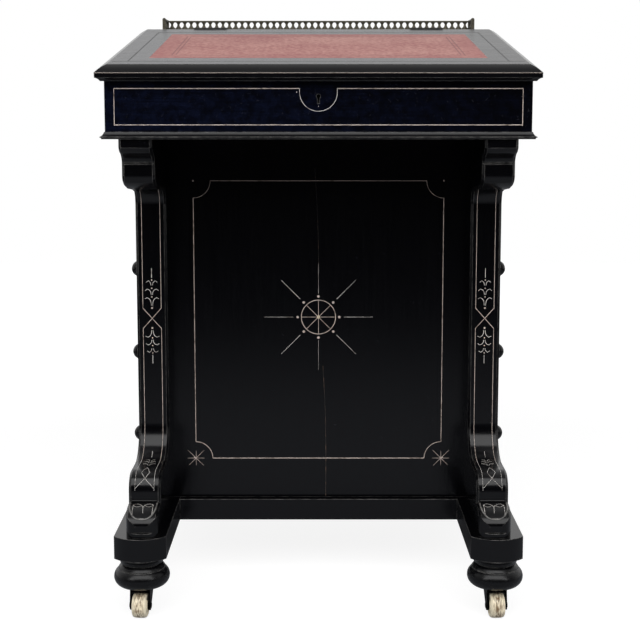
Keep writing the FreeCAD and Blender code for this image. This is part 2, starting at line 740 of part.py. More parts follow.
def rails(x0, x1):
    """The rails over, under and between the drawer openings of one side."""
    solids = [box(x0, x1, BAY_FRONT, BAY_BACK, PLINTH_TOP, opening_floor(0))]
    for n in range(1, DRAWER_COUNT):
        floor = opening_floor(n)
        solids.append(box(x0, x1, BAY_FRONT, BAY_BACK, floor - MIDDLE_RAIL, floor))
    top = opening_floor(DRAWER_COUNT) - MIDDLE_RAIL
    solids.append(box(x0, x1, BAY_FRONT, BAY_BACK, top, BOX_BOTTOM))
    return solids


def runner(floor):
    """A drawer runner with its guide, on the front panel's inner face."""
    inner = PED_FRONT + PANEL_THICK
    guide = BAY_FRONT + DRAWER_GAP - GUIDE_GAP
    ledge = BAY_FRONT + DRAWER_GAP + RUNNER_LEDGE
    o = Outline(side_view(-PANEL_HALF), (inner, floor - RUNNER_HEIGHT))
    o.line((ledge, floor - RUNNER_HEIGHT), (ledge, floor), (guide, floor))
    o.line((guide, floor + GUIDE_HEIGHT), (inner, floor + GUIDE_HEIGHT))
    return o.prism(Vector(2 * PANEL_HALF, 0, 0))


def build_pedestal():
    posts = []
    for x in (-PED_HALF, PED_HALF - POST_WIDTH):
        posts += [post(x, PED_FRONT), post(x, PED_BACK - POST_DEPTH)]
    save("corner_posts", *posts)
    save("front_panel", box(-PANEL_HALF, PANEL_HALF, PED_FRONT, PED_FRONT + PANEL_THICK,
                            PLINTH_TOP, BOX_BOTTOM))
    save("back_panel", box(-PANEL_HALF, PANEL_HALF, PED_BACK - PANEL_THICK, PED_BACK,
                           PLINTH_TOP, BOX_BOTTOM))
    save("pedestal_floor", box(-PANEL_HALF, PANEL_HALF, PED_FRONT + PANEL_THICK,
                               PED_BACK - PANEL_THICK, PLINTH_TOP, PLINTH_TOP + FLOOR_THICK))
    save("drawer_rails_right", *rails(PED_HALF - RAIL_DEPTH, PED_HALF))
    save("drawer_rails_left", *rails(-PED_HALF, BACKING_X))
    save("left_backing", box(BACKING_X, BACKING_X + BACKING_THICK, BAY_FRONT, BAY_BACK,
                             PLINTH_TOP, BOX_BOTTOM))
    middle = (PED_FRONT + PED_BACK) / 2
    runners = []
    for n in range(DRAWER_COUNT):
        near = runner(opening_floor(n))
        runners += [near, near.mirror(Vector(0, middle, 0), Vector(0, 1, 0))]
    save("drawer_runners", *runners)


def front_board(x0, x1, floor):
    """A drawer front in its opening, its outer edges chamfered; x1 is the show face."""
    y0 = BAY_FRONT + DRAWER_GAP
    y1 = BAY_BACK - DRAWER_GAP
    z0 = floor + DRAWER_GAP
    z1 = floor + OPENING - DRAWER_GAP
    board = box(min(x0, x1), max(x0, x1), y0, y1, z0, z1)
    shown = [e for e in board.Edges if all(abs(v.X - x1) < 1e-6 for v in e.Vertexes)]
    board = board.makeChamfer(FRONT_EDGE_CHAMFER, shown)
    for y, z in knob_places(floor):
        board = board.cut(rod(KNOB_TENON + FIT, Vector(x0, y, z), Vector(x1, y, z)))
    return board


def knob_places(floor):
    z = floor + OPENING / 2
    return [(BAY_FRONT + DRAWER_GAP + KNOB_INSET, z), (BAY_BACK - DRAWER_GAP - KNOB_INSET, z)]


def knob(face, y, z, tenon):
    """A turned knob that stands on a face at +X, its tenon running back into the front."""
    o = Outline(lambda r, x: Vector(face + x, y, z + r), (0, -tenon))
    o.line((KNOB_TENON, -tenon), (KNOB_TENON, 0), (KNOB_COLLAR, 0))
    o.line((KNOB_COLLAR, KNOB_COLLAR_THICK))
    o.bulge((KNOB_NECK, KNOB_NECK_FROM * KNOB_LENGTH), KNOB_HOLLOW)
    o.line((KNOB_NECK, KNOB_NECK_TO * KNOB_LENGTH))
    o.bulge((KNOB_RADIUS, KNOB_WIDEST_AT * KNOB_LENGTH), -KNOB_SWELL)
    o.dome(KNOB_LENGTH)
    return o.lathe(Vector(face, y, z), Vector(1, 0, 0))


def build_drawers():
    inner = PED_HALF - DRAWER_FRONT_THICK
    end = BACKING_X + BACKING_THICK + DRAWER_BACK_GAP
    y0 = BAY_FRONT + DRAWER_GAP
    y1 = BAY_BACK - DRAWER_GAP
    t = DRAWER_SIDE_THICK
    for n in range(DRAWER_COUNT):
        floor = opening_floor(n)
        low = floor + DRAWER_RUN_GAP
        high = floor + OPENING - DRAWER_SIDE_DROP
        sides = [box(end, inner + DRAWER_LAP, y, y + t, low, high) for y in (y0, y1 - t)]
        front = front_board(inner, PED_HALF, floor)
        for side in sides:
            front = front.cut(side)
        bed = low + DRAWER_BOTTOM_RISE
        bottom = box(end, inner, y0 + t, y1 - t, bed, bed + DRAWER_BOTTOM_THICK)
        back = box(end, end + t, y0 + t, y1 - t, bed + DRAWER_BOTTOM_THICK, high)
        name = "drawer_%d" % (n + 1)
        save(name + "_front", front)
        save(name + "_box", sides[0], sides[1], back, bottom)
        save(name + "_knobs", *[knob(PED_HALF, y, z, DRAWER_FRONT_THICK - KNOB_TENON_ROOM)
                                for y, z in knob_places(floor)])

    fronts = []
    knobs = []
    for n in range(DRAWER_COUNT):
        floor = opening_floor(n)
        fronts.append(front_board(BACKING_X, -PED_HALF, floor))
        for y, z in knob_places(floor):
            knobs.append(both_sides(knob(PED_HALF, y, z, DUMMY_THICK - KNOB_TENON_ROOM))[1])
    save("dummy_drawer_fronts", *fronts)
    save("dummy_knobs", *knobs)


def leg_outline():
    """The scroll leg in side view: corbel, shaft, scroll and toe."""
    foot = PLINTH_TOP
    corbel = FRONT + CORBEL_SETBACK
    block = corbel + CORBEL_STEP
    shaft = FRONT + SHAFT_SETBACK
    belly = FRONT + BELLY_SETBACK
    toe = FRONT + TOE_SETBACK
    ogee = BOX_BOTTOM - CORBEL_FASCIA
    fall = CORBEL_UNDER - CORBEL_FALL

    o = Outline(side_view(PED_HALF - LEG_THICK), (PED_FRONT, BOX_BOTTOM))
    o.line((corbel, BOX_BOTTOM), (corbel, ogee))
    o.bulge((corbel + CORBEL_STEP / 2, ogee - CORBEL_OGEE_DROP / 2), -CORBEL_OGEE_SWELL)
    o.bulge((block, CORBEL_NECK), CORBEL_OGEE_SWELL)
    o.line((block, CORBEL_LOW))
    o.turn((block + CORBEL_ROUND, CORBEL_LOW), CORBEL_TURN)
    o.turn((block + CORBEL_ROUND + CORBEL_SWEEP_REACH, CORBEL_LOW + CORBEL_SWEEP_RISE), 90 - CORBEL_TURN)
    o.line((shaft - COVE_RADIUS, fall))
    o.turn((shaft - COVE_RADIUS, fall - COVE_RADIUS), -90)
    o.line((shaft, foot + BELLY_TOP + SWEEP_RADIUS))
    o.turn((shaft - SWEEP_RADIUS, foot + BELLY_TOP + SWEEP_RADIUS), -90)
    o.line((belly + BELLY_RADIUS, foot + BELLY_TOP))
    o.turn((belly + BELLY_RADIUS, foot + BELLY_TOP - BELLY_RADIUS), 90)
    o.line((belly, foot + TOE_TOP), (belly - TOE_STEP, foot + TOE_TOP))
    o.bulge((toe + TOE_STEP, foot + TOE_SHOULDER), -TOE_SWELL)
    o.bulge((toe, foot + TOE_NOSE), -TOE_NOSE_SWELL)
    o.line((toe, foot), (PED_FRONT, foot))
    return o


def groove(y, z, size):
    """A V groove across a leg's front, its mouth centred on y, z."""
    o = Outline(side_view(0), (y - 2 * size, z - size))
    o.line((y - 2 * size, z + size), (y, z + size / 2), (y + size, z), (y, z - size / 2))
    return o.prism(Vector(DEPTH, 0, 0))


def toe_waste(x, way):
    """What comes off one front corner of the toe to round it in plan; way points out of the leg's side."""
    toe = FRONT + TOE_SETBACK
    o = Outline(plan_view(PLINTH_TOP), (x, toe + TOE_CORNER))
    o.bulge((x - way * TOE_CORNER, toe), way * TOE_CORNER_SWELL * TOE_CORNER)
    o.line((x - way * TOE_CORNER, toe - TOE_CORNER), (x + way * TOE_CORNER, toe - TOE_CORNER))
    o.line((x + way * TOE_CORNER, toe + TOE_CORNER))
    return o.prism(Vector(0, 0, TOE_TOP))


def build_legs():
    leg = leg_outline().prism(Vector(LEG_THICK, 0, 0))
    inner = PED_HALF - LEG_THICK
    edges = []
    for edge in leg.Edges:
        ends = [v.Point for v in edge.Vertexes]
        on_side = any(all(abs(p.x - x) < 1e-6 for p in ends) for x in (inner, PED_HALF))
        at_back = all(abs(p.y - PED_FRONT) < 1e-6 for p in ends)
        at_end = any(all(abs(p.z - z) < 1e-6 for p in ends) for z in (BOX_BOTTOM, PLINTH_TOP))
        if on_side and not at_back and not at_end:
            edges.append(edge)
    leg = leg.makeChamfer(LEG_CHAMFER, edges)
    block = FRONT + CORBEL_SETBACK + CORBEL_STEP
    leg = leg.cut(groove(block, CORBEL_NECK - GROOVE_DEPTH, GROOVE_DEPTH))
    leg = leg.cut(groove(FRONT + TOE_SETBACK, PLINTH_TOP + TOE_GROOVE, GROOVE_DEPTH))
    leg = leg.cut(toe_waste(inner, -1)).cut(toe_waste(PED_HALF, 1))
    right, left = both_sides(leg)
    save("scroll_leg_right", right)
    save("scroll_leg_left", left)


def build_plinth():
    arm_front = FRONT + ARM_SETBACK
    arm_back = BACK - ARM_BACK_SETBACK
    outer = ARM_CENTRE + ARM_WIDTH / 2
    o = Outline(plan_view(PLINTH_BOTTOM), (ARM_INNER, arm_front + ARM_BOW))
    o.arc((ARM_CENTRE, arm_front), (outer, arm_front + ARM_BOW))
    o.line((outer, arm_back), (ARM_INNER, arm_back))
    arm = o.prism(Vector(0, 0, PLINTH_THICK))
    for y in (-FOOT_Y, FOOT_Y):
        arm = arm.cut(rod(SPIGOT_RADIUS + FIT, Vector(ARM_CENTRE, y, PLINTH_BOTTOM),
                          Vector(ARM_CENTRE, y, PLINTH_BOTTOM + SPIGOT_LENGTH)))
    rails_made = []
    inset = (PLINTH_THICK - PLINTH_TENON_THICK) / 2
    for y in (FRONT + PLINTH_RAIL_SETBACK, BOX_BACK - PLINTH_RAIL_WIDTH):
        rail = box(-ARM_INNER, ARM_INNER, y, y + PLINTH_RAIL_WIDTH, PLINTH_BOTTOM, PLINTH_TOP)
        tenon = box(ARM_INNER, ARM_INNER + PLINTH_TENON, y + inset, y + PLINTH_RAIL_WIDTH - inset,
                    PLINTH_BOTTOM + inset, PLINTH_TOP - inset)
        arm = arm.cut(tenon)
        rails_made.append(fuse(rail, *both_sides(tenon)))
    right, left = both_sides(arm)
    save("plinth_arm_right", right)
    save("plinth_arm_left", left)
    save("plinth_rails", *rails_made)


def bun_foot(x, y):
    core = FOOT_RADIUS - FOOT_ROUND
    ring = FOOT_WIDEST + math.sqrt(FOOT_ROUND ** 2 - (FOOT_RING - core) ** 2)
    drop = FOOT_WIDEST - FOOT_BOTTOM
    seat = core + math.sqrt(FOOT_ROUND ** 2 - drop ** 2)
    collar = PLINTH_BOTTOM - FOOT_COLLAR_HEIGHT
    o = Outline(lambda r, z: Vector(x + r, y, z), (0, FOOT_BOTTOM))
    o.line((seat, FOOT_BOTTOM))
    o.arc((core + FOOT_ROUND, FOOT_WIDEST), (FOOT_RING, ring))
    o.line((FOOT_RING, ring + FOOT_RING_HEIGHT))
    o.bulge((FOOT_NECK, collar - FOOT_NECK_HEIGHT), -FOOT_NECK_HOLLOW)
    o.line((FOOT_NECK, collar), (FOOT_COLLAR_LOW, collar))
    o.bulge((FOOT_COLLAR, PLINTH_BOTTOM - FOOT_COLLAR_EDGE), FOOT_COLLAR_SWELL)
    o.line((FOOT_COLLAR, PLINTH_BOTTOM), (SPIGOT_RADIUS, PLINTH_BOTTOM))
    spigot = PLINTH_BOTTOM + SPIGOT_LENGTH - SPIGOT_ROOM
    o.line((SPIGOT_RADIUS, spigot), (0, spigot))
    foot = o.lathe(Vector(x, y, 0), Vector(0, 0, 1))
    return foot.cut(rod(PIVOT_RADIUS + FIT, Vector(x, y, FOOT_BOTTOM),
                        Vector(x, y, FOOT_BOTTOM + PIVOT_INSERT + SPIGOT_ROOM)))


def castor_socket(x, y):
    """The plate under a foot, with the pivot that the fork turns on and its riveted head."""
    plate = rod(SOCKET_RADIUS, Vector(x, y, FOOT_BOTTOM - SOCKET_THICK), Vector(x, y, FOOT_BOTTOM))
    low = CROWN_BOTTOM - CROWN_GAP
    pivot = rod(PIVOT_RADIUS, Vector(x, y, low), Vector(x, y, FOOT_BOTTOM + PIVOT_INSERT))
    head = rod(PIVOT_HEAD_RADIUS, Vector(x, y, low - PIVOT_HEAD_THICK), Vector(x, y, low))
    return fuse(plate, pivot, head)


def fork():
    """A castor fork and its axle, the pivot on the Z axis and the wheel trailing towards +X."""
    lead = CASTOR_TRAIL + CROWN_LEAD
    crown = box(-CROWN_TAIL, lead, -CHEEK_OUT, CHEEK_OUT, CROWN_BOTTOM, CROWN_TOP)
    o = Outline(lambda u, z: Vector(u, -CHEEK_OUT, z), (-CROWN_TAIL, CROWN_TOP))
    o.line((-CROWN_TAIL, CROWN_BOTTOM), (CASTOR_TRAIL - CHEEK_BOSS, WHEEL_RADIUS))
    o.turn((CASTOR_TRAIL, WHEEL_RADIUS), 180)
    o.line((lead, CROWN_BOTTOM), (lead, CROWN_TOP))
    cheek = o.prism(Vector(0, CHEEK_THICK, 0))
    other = cheek.mirror(Vector(0, 0, 0), Vector(0, 1, 0))
    body = fuse(crown, cheek, other)
    body = body.cut(rod(PIVOT_RADIUS + FIT, Vector(0, 0, 0), Vector(0, 0, FOOT_BOTTOM)))
    ends = [Vector(CASTOR_TRAIL, s * CHEEK_OUT, WHEEL_RADIUS) for s in (-1, 1)]
    body = body.cut(rod(AXLE_RADIUS + FIT, ends[0], ends[1]))
    axle = rod(AXLE_RADIUS, ends[0], ends[1])
    for s, end in zip((-1, 1), ends):
        axle = axle.fuse(rod(AXLE_HEAD_RADIUS, end, end + Vector(0, s * AXLE_HEAD_THICK, 0)))
    return [body, axle.removeSplitter()]


def wheel():
    """A barrel wheel on the fork's axle."""
    half = WHEEL_WIDTH / 2
    bore = AXLE_RADIUS + FIT
    rim = WHEEL_RADIUS - WHEEL_ROUND
    o = Outline(lambda v, r: Vector(CASTOR_TRAIL, v, WHEEL_RADIUS + r), (-half, bore))
    o.line((-half, WHEEL_HUB * rim), (-half + WHEEL_DISH, WHEEL_HUB_FOOT * rim))
    o.line((-half + WHEEL_DISH, WHEEL_RIM_FOOT * rim), (-half, WHEEL_RIM * rim), (-half, rim))
    o.turn((-half + WHEEL_ROUND, rim), -90)
    o.line((half - WHEEL_ROUND, WHEEL_RADIUS))
    o.turn((half - WHEEL_ROUND, rim), -90)
    o.line((half, WHEEL_RIM * rim), (half - WHEEL_DISH, WHEEL_RIM_FOOT * rim))
    o.line((half - WHEEL_DISH, WHEEL_HUB_FOOT * rim), (half, WHEEL_HUB * rim), (half, bore))
    return o.lathe(Vector(CASTOR_TRAIL, 0, WHEEL_RADIUS), Vector(0, 1, 0))


def placed(shape, x, y, turn):
    shape = shape.copy()
    shape.rotate(Vector(0, 0, 0), Vector(0, 0, 1), turn)
    shape.translate(Vector(x, y, 0))
    return shape


def build_feet():
    save("bun_feet", *[bun_foot(x, y) for x, y, _ in CASTORS.values()])
    save("castor_sockets", *[castor_socket(x, y) for x, y, _ in CASTORS.values()])
    for name, (x, y, turn) in CASTORS.items():
        save("castor_fork_" + name, *[placed(s, x, y, turn) for s in fork()])
        save("castor_wheel_" + name, placed(wheel(), x, y, turn))


def main():
    os.makedirs("parts", exist_ok=True)
    build_lid()
    build_box()
    build_moulding()
    build_gallery()
    build_till()
    build_pedestal()
    build_drawers()
    build_legs()
    build_plinth()
    build_feet()


if __name__ == "__main__":
    main()
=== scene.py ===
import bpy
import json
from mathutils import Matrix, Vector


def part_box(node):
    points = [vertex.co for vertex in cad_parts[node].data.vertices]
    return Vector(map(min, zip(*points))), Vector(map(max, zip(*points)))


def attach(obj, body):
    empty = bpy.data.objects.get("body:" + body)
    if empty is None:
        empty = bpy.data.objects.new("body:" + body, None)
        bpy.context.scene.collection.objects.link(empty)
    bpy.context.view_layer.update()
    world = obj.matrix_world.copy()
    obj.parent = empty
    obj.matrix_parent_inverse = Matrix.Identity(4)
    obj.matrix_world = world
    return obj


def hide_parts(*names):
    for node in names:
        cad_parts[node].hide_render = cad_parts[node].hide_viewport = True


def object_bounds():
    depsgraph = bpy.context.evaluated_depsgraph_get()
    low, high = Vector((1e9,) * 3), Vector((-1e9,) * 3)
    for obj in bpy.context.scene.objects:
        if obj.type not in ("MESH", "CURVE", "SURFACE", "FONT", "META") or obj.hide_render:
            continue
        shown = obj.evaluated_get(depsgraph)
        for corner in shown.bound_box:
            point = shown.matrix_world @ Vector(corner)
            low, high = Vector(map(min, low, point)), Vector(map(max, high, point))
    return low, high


bl_info = {
    "name": "Davenport Desk",
    "version": (1, 0, 0),
    "blender": (4, 5, 0),
    "location": "3D View > Sidebar > Davenport",
    "description": "Dresses the davenport's frame: finishes, gilding, leather, gallery and turnings",
    "category": "Object",
}

import json
import math

import bmesh
import bpy
import numpy as np
from bpy.props import FloatProperty, FloatVectorProperty, IntProperty, PointerProperty
from bpy.types import Operator, Panel, PropertyGroup

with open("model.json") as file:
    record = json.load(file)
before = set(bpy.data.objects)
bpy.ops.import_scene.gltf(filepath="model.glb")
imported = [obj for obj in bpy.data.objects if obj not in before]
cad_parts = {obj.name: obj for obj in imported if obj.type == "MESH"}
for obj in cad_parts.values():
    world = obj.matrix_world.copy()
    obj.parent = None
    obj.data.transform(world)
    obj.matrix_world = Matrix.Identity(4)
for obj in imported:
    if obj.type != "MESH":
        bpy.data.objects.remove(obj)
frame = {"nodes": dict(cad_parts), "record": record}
CAD_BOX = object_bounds()

MM = 0.001

# Faces of the frame that carry decoration, in millimetres
PANEL_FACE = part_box("front_panel")[0].y / MM
FRONT_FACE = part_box("desk_front")[0].y / MM
LEG_MIDDLE = sum(corner.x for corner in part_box("scroll_leg_right")) / 2 / MM
TOP_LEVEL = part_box("fixed_top")[1].z / MM
LEATHER_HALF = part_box("lid_leather")[1].x / MM
DRAWERS = (1, 2, 3, 4)

# The lid: its hinge line, its slope, and lengths measured down the slope from the hinge line
LID_SLOPE = math.radians(10.0)
LID_COS, LID_SIN = math.cos(LID_SLOPE), math.sin(LID_SLOPE)
HINGE_Y = 148.0
LID_RUN = 415.77
EDGE_DROP = 8.4
LEATHER_START = 71.0
LEATHER_LENGTH = 272.97
LEATHER_THICK = 1.0

# The scroll leg's front in side view, (y, z), from under its corbel to its toe; arcs are (centre, radius)
COVE = ((-119.0, 533.03), 20.0)
SWEEP = ((-142.0, 228.0), 43.0)
BELLY = ((-182.0, 160.5), 24.5)
BELLY_FOOT = (-206.5, 148.0)
TOE_TOP = (-210.0, 148.0)
TOE_SHOULDER = (-240.5, 134.0)
TOE_SWELL = 3.5
TOE_NOSE = (-244.0, 124.0)
TOE_NOSE_SWELL = 1.2
TOE_FOOT = (-244.0, 110.0)
SHAFT = ((COVE[0][0] + COVE[1], COVE[0][1]), (SWEEP[0][0] + SWEEP[1], SWEEP[0][1]))


def linear(code):
    """An sRGB hex colour as linear RGBA: c / 12.92 for dark values, else ((c + 0.055) / 1.055)^2.4."""
    c = np.array([int(code[i:i + 2], 16) for i in (1, 3, 5)]) / 255
    values = np.where(c <= 0.04045, c / 12.92, ((c + 0.055) / 1.055) ** 2.4)
    return (*values.tolist(), 1.0)


def length(name, description, millimetres):
    """A length for the sidebar, given in millimetres."""
    return FloatProperty(name=name, description=description, default=millimetres * MM, min=0.0,
                         unit="LENGTH", precision=5)


def colour(name, description, code):
    """A colour for the sidebar, given as sRGB hex."""
    return FloatVectorProperty(name=name, description=description, default=linear(code), size=4,
                               subtype="COLOR", min=0.0, max=1.0)


class DavenportSizes(PropertyGroup):
    """Sizes of the decoration and the turned pieces."""

    gilt_width: length("Gilt line", "Width of the gilded lines", 1.05)
    gilt_height: length("Gilt height", "How far the gilding stands on the wood", 0.12)
    panel_half: length("Panel line half width", "From the middle to the panel's upright gilt lines", 175.0)
    panel_low: length("Panel line foot", "Height of the panel's lower gilt line", 167.0)
    panel_high: length("Panel line head", "Height of the panel's upper gilt line", 563.0)
    panel_corner: length("Panel corner", "Radius of the panel line's hollow corners", 24.0)
    wheel_height: length("Sun wheel height", "Height of the sun wheel's hub", 371.0)
    wheel_radius: length("Sun wheel radius", "Radius of the sun wheel's rim", 24.2)
    box_half: length("Box line half width", "From the middle to the upright lines on the box front", 254.0)
    box_low: length("Box line foot", "Height of the lower line on the box front", 640.7)
    box_high: length("Box line head", "Height of the upper line on the box front", 685.5)
    lock_radius: length("Keyhole line", "Radius of the half round under the keyhole", 23.5)
    leg_line: length("Leg line", "From a leg's middle to its gilt lines", 12.6)
    cross_height: length("Leg cross height", "Height of the crossing of a leg's lines", 375.6)
    tooling_inset: length("Tooling inset", "From the leather's edge to its tooled band", 26.0)
    tooling_width: length("Tooling width", "Width of the leather's tooled band", 5.0)
    turned_sides: IntProperty(name="Turned sides", description="Facets round a turned piece",
                              default=56, min=12, max=128)


class DavenportColours(PropertyGroup):
    """Colours of the finishes."""

    ebony: colour("Ebonised wood", "Black stained and polished wood", "#030305")
    # Bloom: the polish's blue bloom, which also carries a painted blue-grey sheen on the box front
    bloom: colour("Bloom", "Blue bloom in the old polish of the box front", "#0a0e1e")
    haze: colour("Haze", "Grey haze in the rubbed polish of the lid", "#36363c")
    scuff: colour("Scuffs", "Pale scuffs and scratches in the polish", "#4c4c55")
    # Worn ebony: the grey of rubbed edges, which also stands in for a painted highlight along the arrises
    ebony_wear_and_highlight: colour("Worn ebony", "Where the black has been rubbed grey", "#6a6865")
    gilt: colour("Gilding", "Gold size and bronze powder in the incised lines", "#c8b8ae")
    gilt_worn: colour("Worn gilding", "Where the gilding has gone from the line", "#5a4a3a")
    gold: colour("Bright gold", "Gold left in the middle of the sun wheel", "#ead9a6")
    silvered: colour("Rubbed gilding", "Gilding rubbed down to its grey ground", "#d2cdc8")
    joint: colour("Open joint", "Bare wood in the panel's open joint", "#9a7a62")
    joint_dirt: colour("Joint dirt", "Dirt in the panel's open joint", "#2c2825")
    incised: colour("Incised line", "Dirt in a cut that was never gilded", "#0a0909")
    leather: colour("Leather", "Faded red skiver", "#873a3b")
    leather_pale: colour("Faded leather", "Where light has bleached the red", "#b37f74")
    tooling: colour("Tooling", "Blind tooled lines in the leather", "#5e2a2a")
    brass: colour("Gallery brass", "Old brass of the gallery", "#524d3f")
    brass_dark: colour("Tarnish", "Tarnish in the hollows of the brass", "#2d2a24")
    fitting: colour("Fitting brass", "Dull brass of hinges and lock", "#b39a5e")
    wheel: colour("Castor wheel", "Cream glaze of the pottery wheels", "#fdf0d2")
    wheel_worn: colour("Worn wheel", "Floor dirt on the wheels' treads", "#6b4a20")
    iron: colour("Castor iron", "Blackened iron of the forks", "#131211")
    lining: colour("Lining", "Waxed mahogany of drawers and till", "#6b3f26")
    lining_dark: colour("Lining grain", "Dark grain of the lining", "#482616")
    floor: colour("Floor", "The part of the floor's white that light and shadow change", "#808080")
    # Floor bounce: the colour of the painted light pool that the polish mirrors near the desk
    floor_bounce: colour("Floor bounce", "The floor as the polished wood mirrors it", "#a0a3a9")


# A strip's steps and the depth its foot is sunk, in millimetres, and its crown's share of its width;
# facets round a dot, and round a thin turning
LINE_STEP = 4.0
SINK = 0.25
CROWN = 0.75
DOT_SIDES, THIN_SIDES = 12, 16


# Arrays of points

def unit(vectors):
    return vectors / np.linalg.norm(vectors, axis=-1, keepdims=True)


def quads(rows, columns, joined=False):
    """Corner numbers of a grid's faces; its last column joins the first, and its rows too if joined."""
    r, c = np.meshgrid(np.arange(rows if joined else rows - 1), np.arange(columns), indexing="ij")
    n, m = (c + 1) % columns, (r + 1) % rows
    corners = [r * columns + c, r * columns + n, m * columns + n, m * columns + c]
    return np.stack(corners, -1).reshape(-1, 4).tolist()


def skin(rings, joined=False):
    """A closed skin over rings of points, (rows, columns, 3), capped at its ends unless these join."""
    rows, columns, _ = rings.shape
    faces = quads(rows, columns, joined)
    if not joined:
        last = (rows - 1) * columns
        faces += [list(range(columns)), list(range(last, last + columns))]
    return rings.reshape(-1, 3), faces


def lathe(profile, centre, axis, sides, joined=False):
    """Turns rows of (radius, height) about an axis: centre + h axis + r (u cos a + v sin a)."""
    profile = np.asarray(profile, float)
    axis = unit(np.asarray(axis, float))
    u = unit(np.cross(axis, (0.36, 0.48, 0.8)))
    v = np.cross(axis, u)
    a = np.linspace(0, 2 * np.pi, sides, endpoint=False)[:, None]
    around = u * np.cos(a) + v * np.sin(a)
    rings = np.asarray(centre) + profile[:, 1, None, None] * axis + profile[:, 0, None, None] * around
    return skin(rings, joined)


def smoothed(points, count):
    """A smooth line through points: a cubic Hermite curve whose slopes are the neighbours' mean."""
    p = np.asarray(points, float)
    m = np.gradient(p, axis=0)
    t = np.linspace(0, len(p) - 1, count)
    i = np.minimum(t.astype(int), len(p) - 2)
    f = (t - i)[:, None]
    h = (2 * f**3 - 3 * f**2 + 1, f**3 - 2 * f**2 + f, -2 * f**3 + 3 * f**2, f**3 - f**2)
    return h[0] * p[i] + h[1] * m[i] + h[2] * p[i + 1] + h[3] * m[i + 1]


def arc(centre, radius, start, end, count=24):
    """Points of a circle, centre + radius (cos a, sin a), for angles in degrees."""
    a = np.radians(np.linspace(start, end, count))
    return np.asarray(centre) + radius * np.stack([np.cos(a), np.sin(a)], -1)


def bowed(start, end, swell, count=16):
    """A shallow bow from start to end: the chord plus a parabola of this height on its right."""
    start, end = np.asarray(start, float), np.asarray(end, float)
    t = np.linspace(0, 1, count)[:, None]
    right = unit(np.array([end[1] - start[1], start[0] - end[0]]))
    return start + t * (end - start) + 4 * swell * t * (1 - t) * right


def divided(points, step):
    """The same line with points at even steps along it."""
    p = np.asarray(points, float)
    run = np.concatenate([[0], np.cumsum(np.linalg.norm(np.diff(p, axis=0), axis=1))])
    at = np.linspace(0, run[-1], max(2, int(run[-1] / step) + 2))
    return np.stack([np.interp(at, run, p[:, k]) for k in range(p.shape[1])], -1)


# Surfaces that carry decoration: each takes (across, along) in millimetres and gives points and normals

def upright(face):
    """An upright front: across is x and along is the height."""
    def place(flat):
        points = np.stack([flat[:, 0], np.full(len(flat), face), flat[:, 1]], -1)
        return points, np.tile((0.0, -1.0, 0.0), (len(flat), 1))
    return place


def lid_surface(flat):
    """The closed lid's top: along is the way down the slope from the hinges."""
    x, along = flat.T
    points = np.stack([x, HINGE_Y - along * LID_COS, TOP_LEVEL - along * LID_SIN], -1)
    return points, np.tile((0.0, -LID_SIN, LID_COS), (len(flat), 1))


def lid_lip(flat):
    """The lid's front lip, square to its top: along is the way down from the arris."""
    x, drop = flat[:, 0], EDGE_DROP + flat[:, 1]
    points = np.stack([x, HINGE_Y - LID_RUN * LID_COS + drop * LID_SIN,
                       TOP_LEVEL - LID_RUN * LID_SIN - drop * LID_COS], -1)
    return points, np.tile((0.0, -LID_COS, -LID_SIN), (len(flat), 1))


def leg_front(side):
    """A leg's front from cove to toe: across is measured from its middle, along is the way down it."""
    line = np.concatenate([arc(*COVE, 90, 0), divided(SHAFT, LINE_STEP),
                           arc(*SWEEP, 0, -90, 48), arc(*BELLY, 90, 180, 40),
                           [BELLY_FOOT], bowed(TOE_TOP, TOE_SHOULDER, TOE_SWELL, 30),
                           bowed(TOE_SHOULDER, TOE_NOSE, TOE_NOSE_SWELL), [TOE_FOOT]])
    run = np.concatenate([[0], np.cumsum(np.linalg.norm(np.diff(line, axis=0), axis=1))])
    keep = np.concatenate([[True], np.diff(run) > 1e-6])
    line, run = line[keep], run[keep]
    tangent = unit(np.stack([np.gradient(line[:, 0], run), np.gradient(line[:, 1], run)], -1))

    def place(flat):
        y, z, ty, tz = (np.interp(flat[:, 1], run, v) for v in (*line.T, *tangent.T))
        points = np.stack([side * (LEG_MIDDLE + flat[:, 0]), y, z], -1)
        return points, unit(np.stack([np.zeros_like(ty), tz, -ty], -1))
    return place


def strip(place, line, width, height, step=LINE_STEP):
    """A low strip on a surface: at each point of the line a trapezium stands across it, its foot sunk."""
    points, normals = place(divided(line, step))
    across = unit(np.cross(normals, np.gradient(points, axis=0)))
    half = np.interp(np.linspace(0, 1, len(points)), np.linspace(0, 1, np.size(width)),
                     np.ravel(width))[:, None] / 2
    rings = [points + across * half * a + normals * b
             for a, b in ((-1.0, -SINK), (-CROWN, height), (CROWN, height), (1.0, -SINK))]
    return skin(np.stack(rings, 1))


def dot(place, spot, radius, height):
    """A low dome on a surface, turned about the surface's normal."""
    points, normals = place(np.array([spot], float))
    profile = [(radius, -SINK), (radius, 0.3 * height), (0.7 * radius, 0.8 * height), (0.0, height)]
    return lathe(profile, points[0], normals[0], DOT_SIDES)


def drawn(place, lines, dots, sizes):
    """Strips for lines, each (points, share of the gilt's width), domes for dots, each (spot, radius)."""
    width, height = sizes.gilt_width / MM, sizes.gilt_height / MM
    made = [strip(place, line, width * np.asarray(share, float), height) for line, share in lines]
    return made + [dot(place, spot, radius, height) for spot, radius in dots]


def mirrored(rows):
    """Rows of lines or dots with their mirror images across the middle."""
    return rows + [(np.asarray(points) * (-1.0, 1.0), size) for points, size in rows]


# Pieces

def added(name, data):
    """A new object in the scene, at the origin."""
    made = bpy.data.objects.new(name, data)
    bpy.context.scene.collection.objects.link(made)
    return made


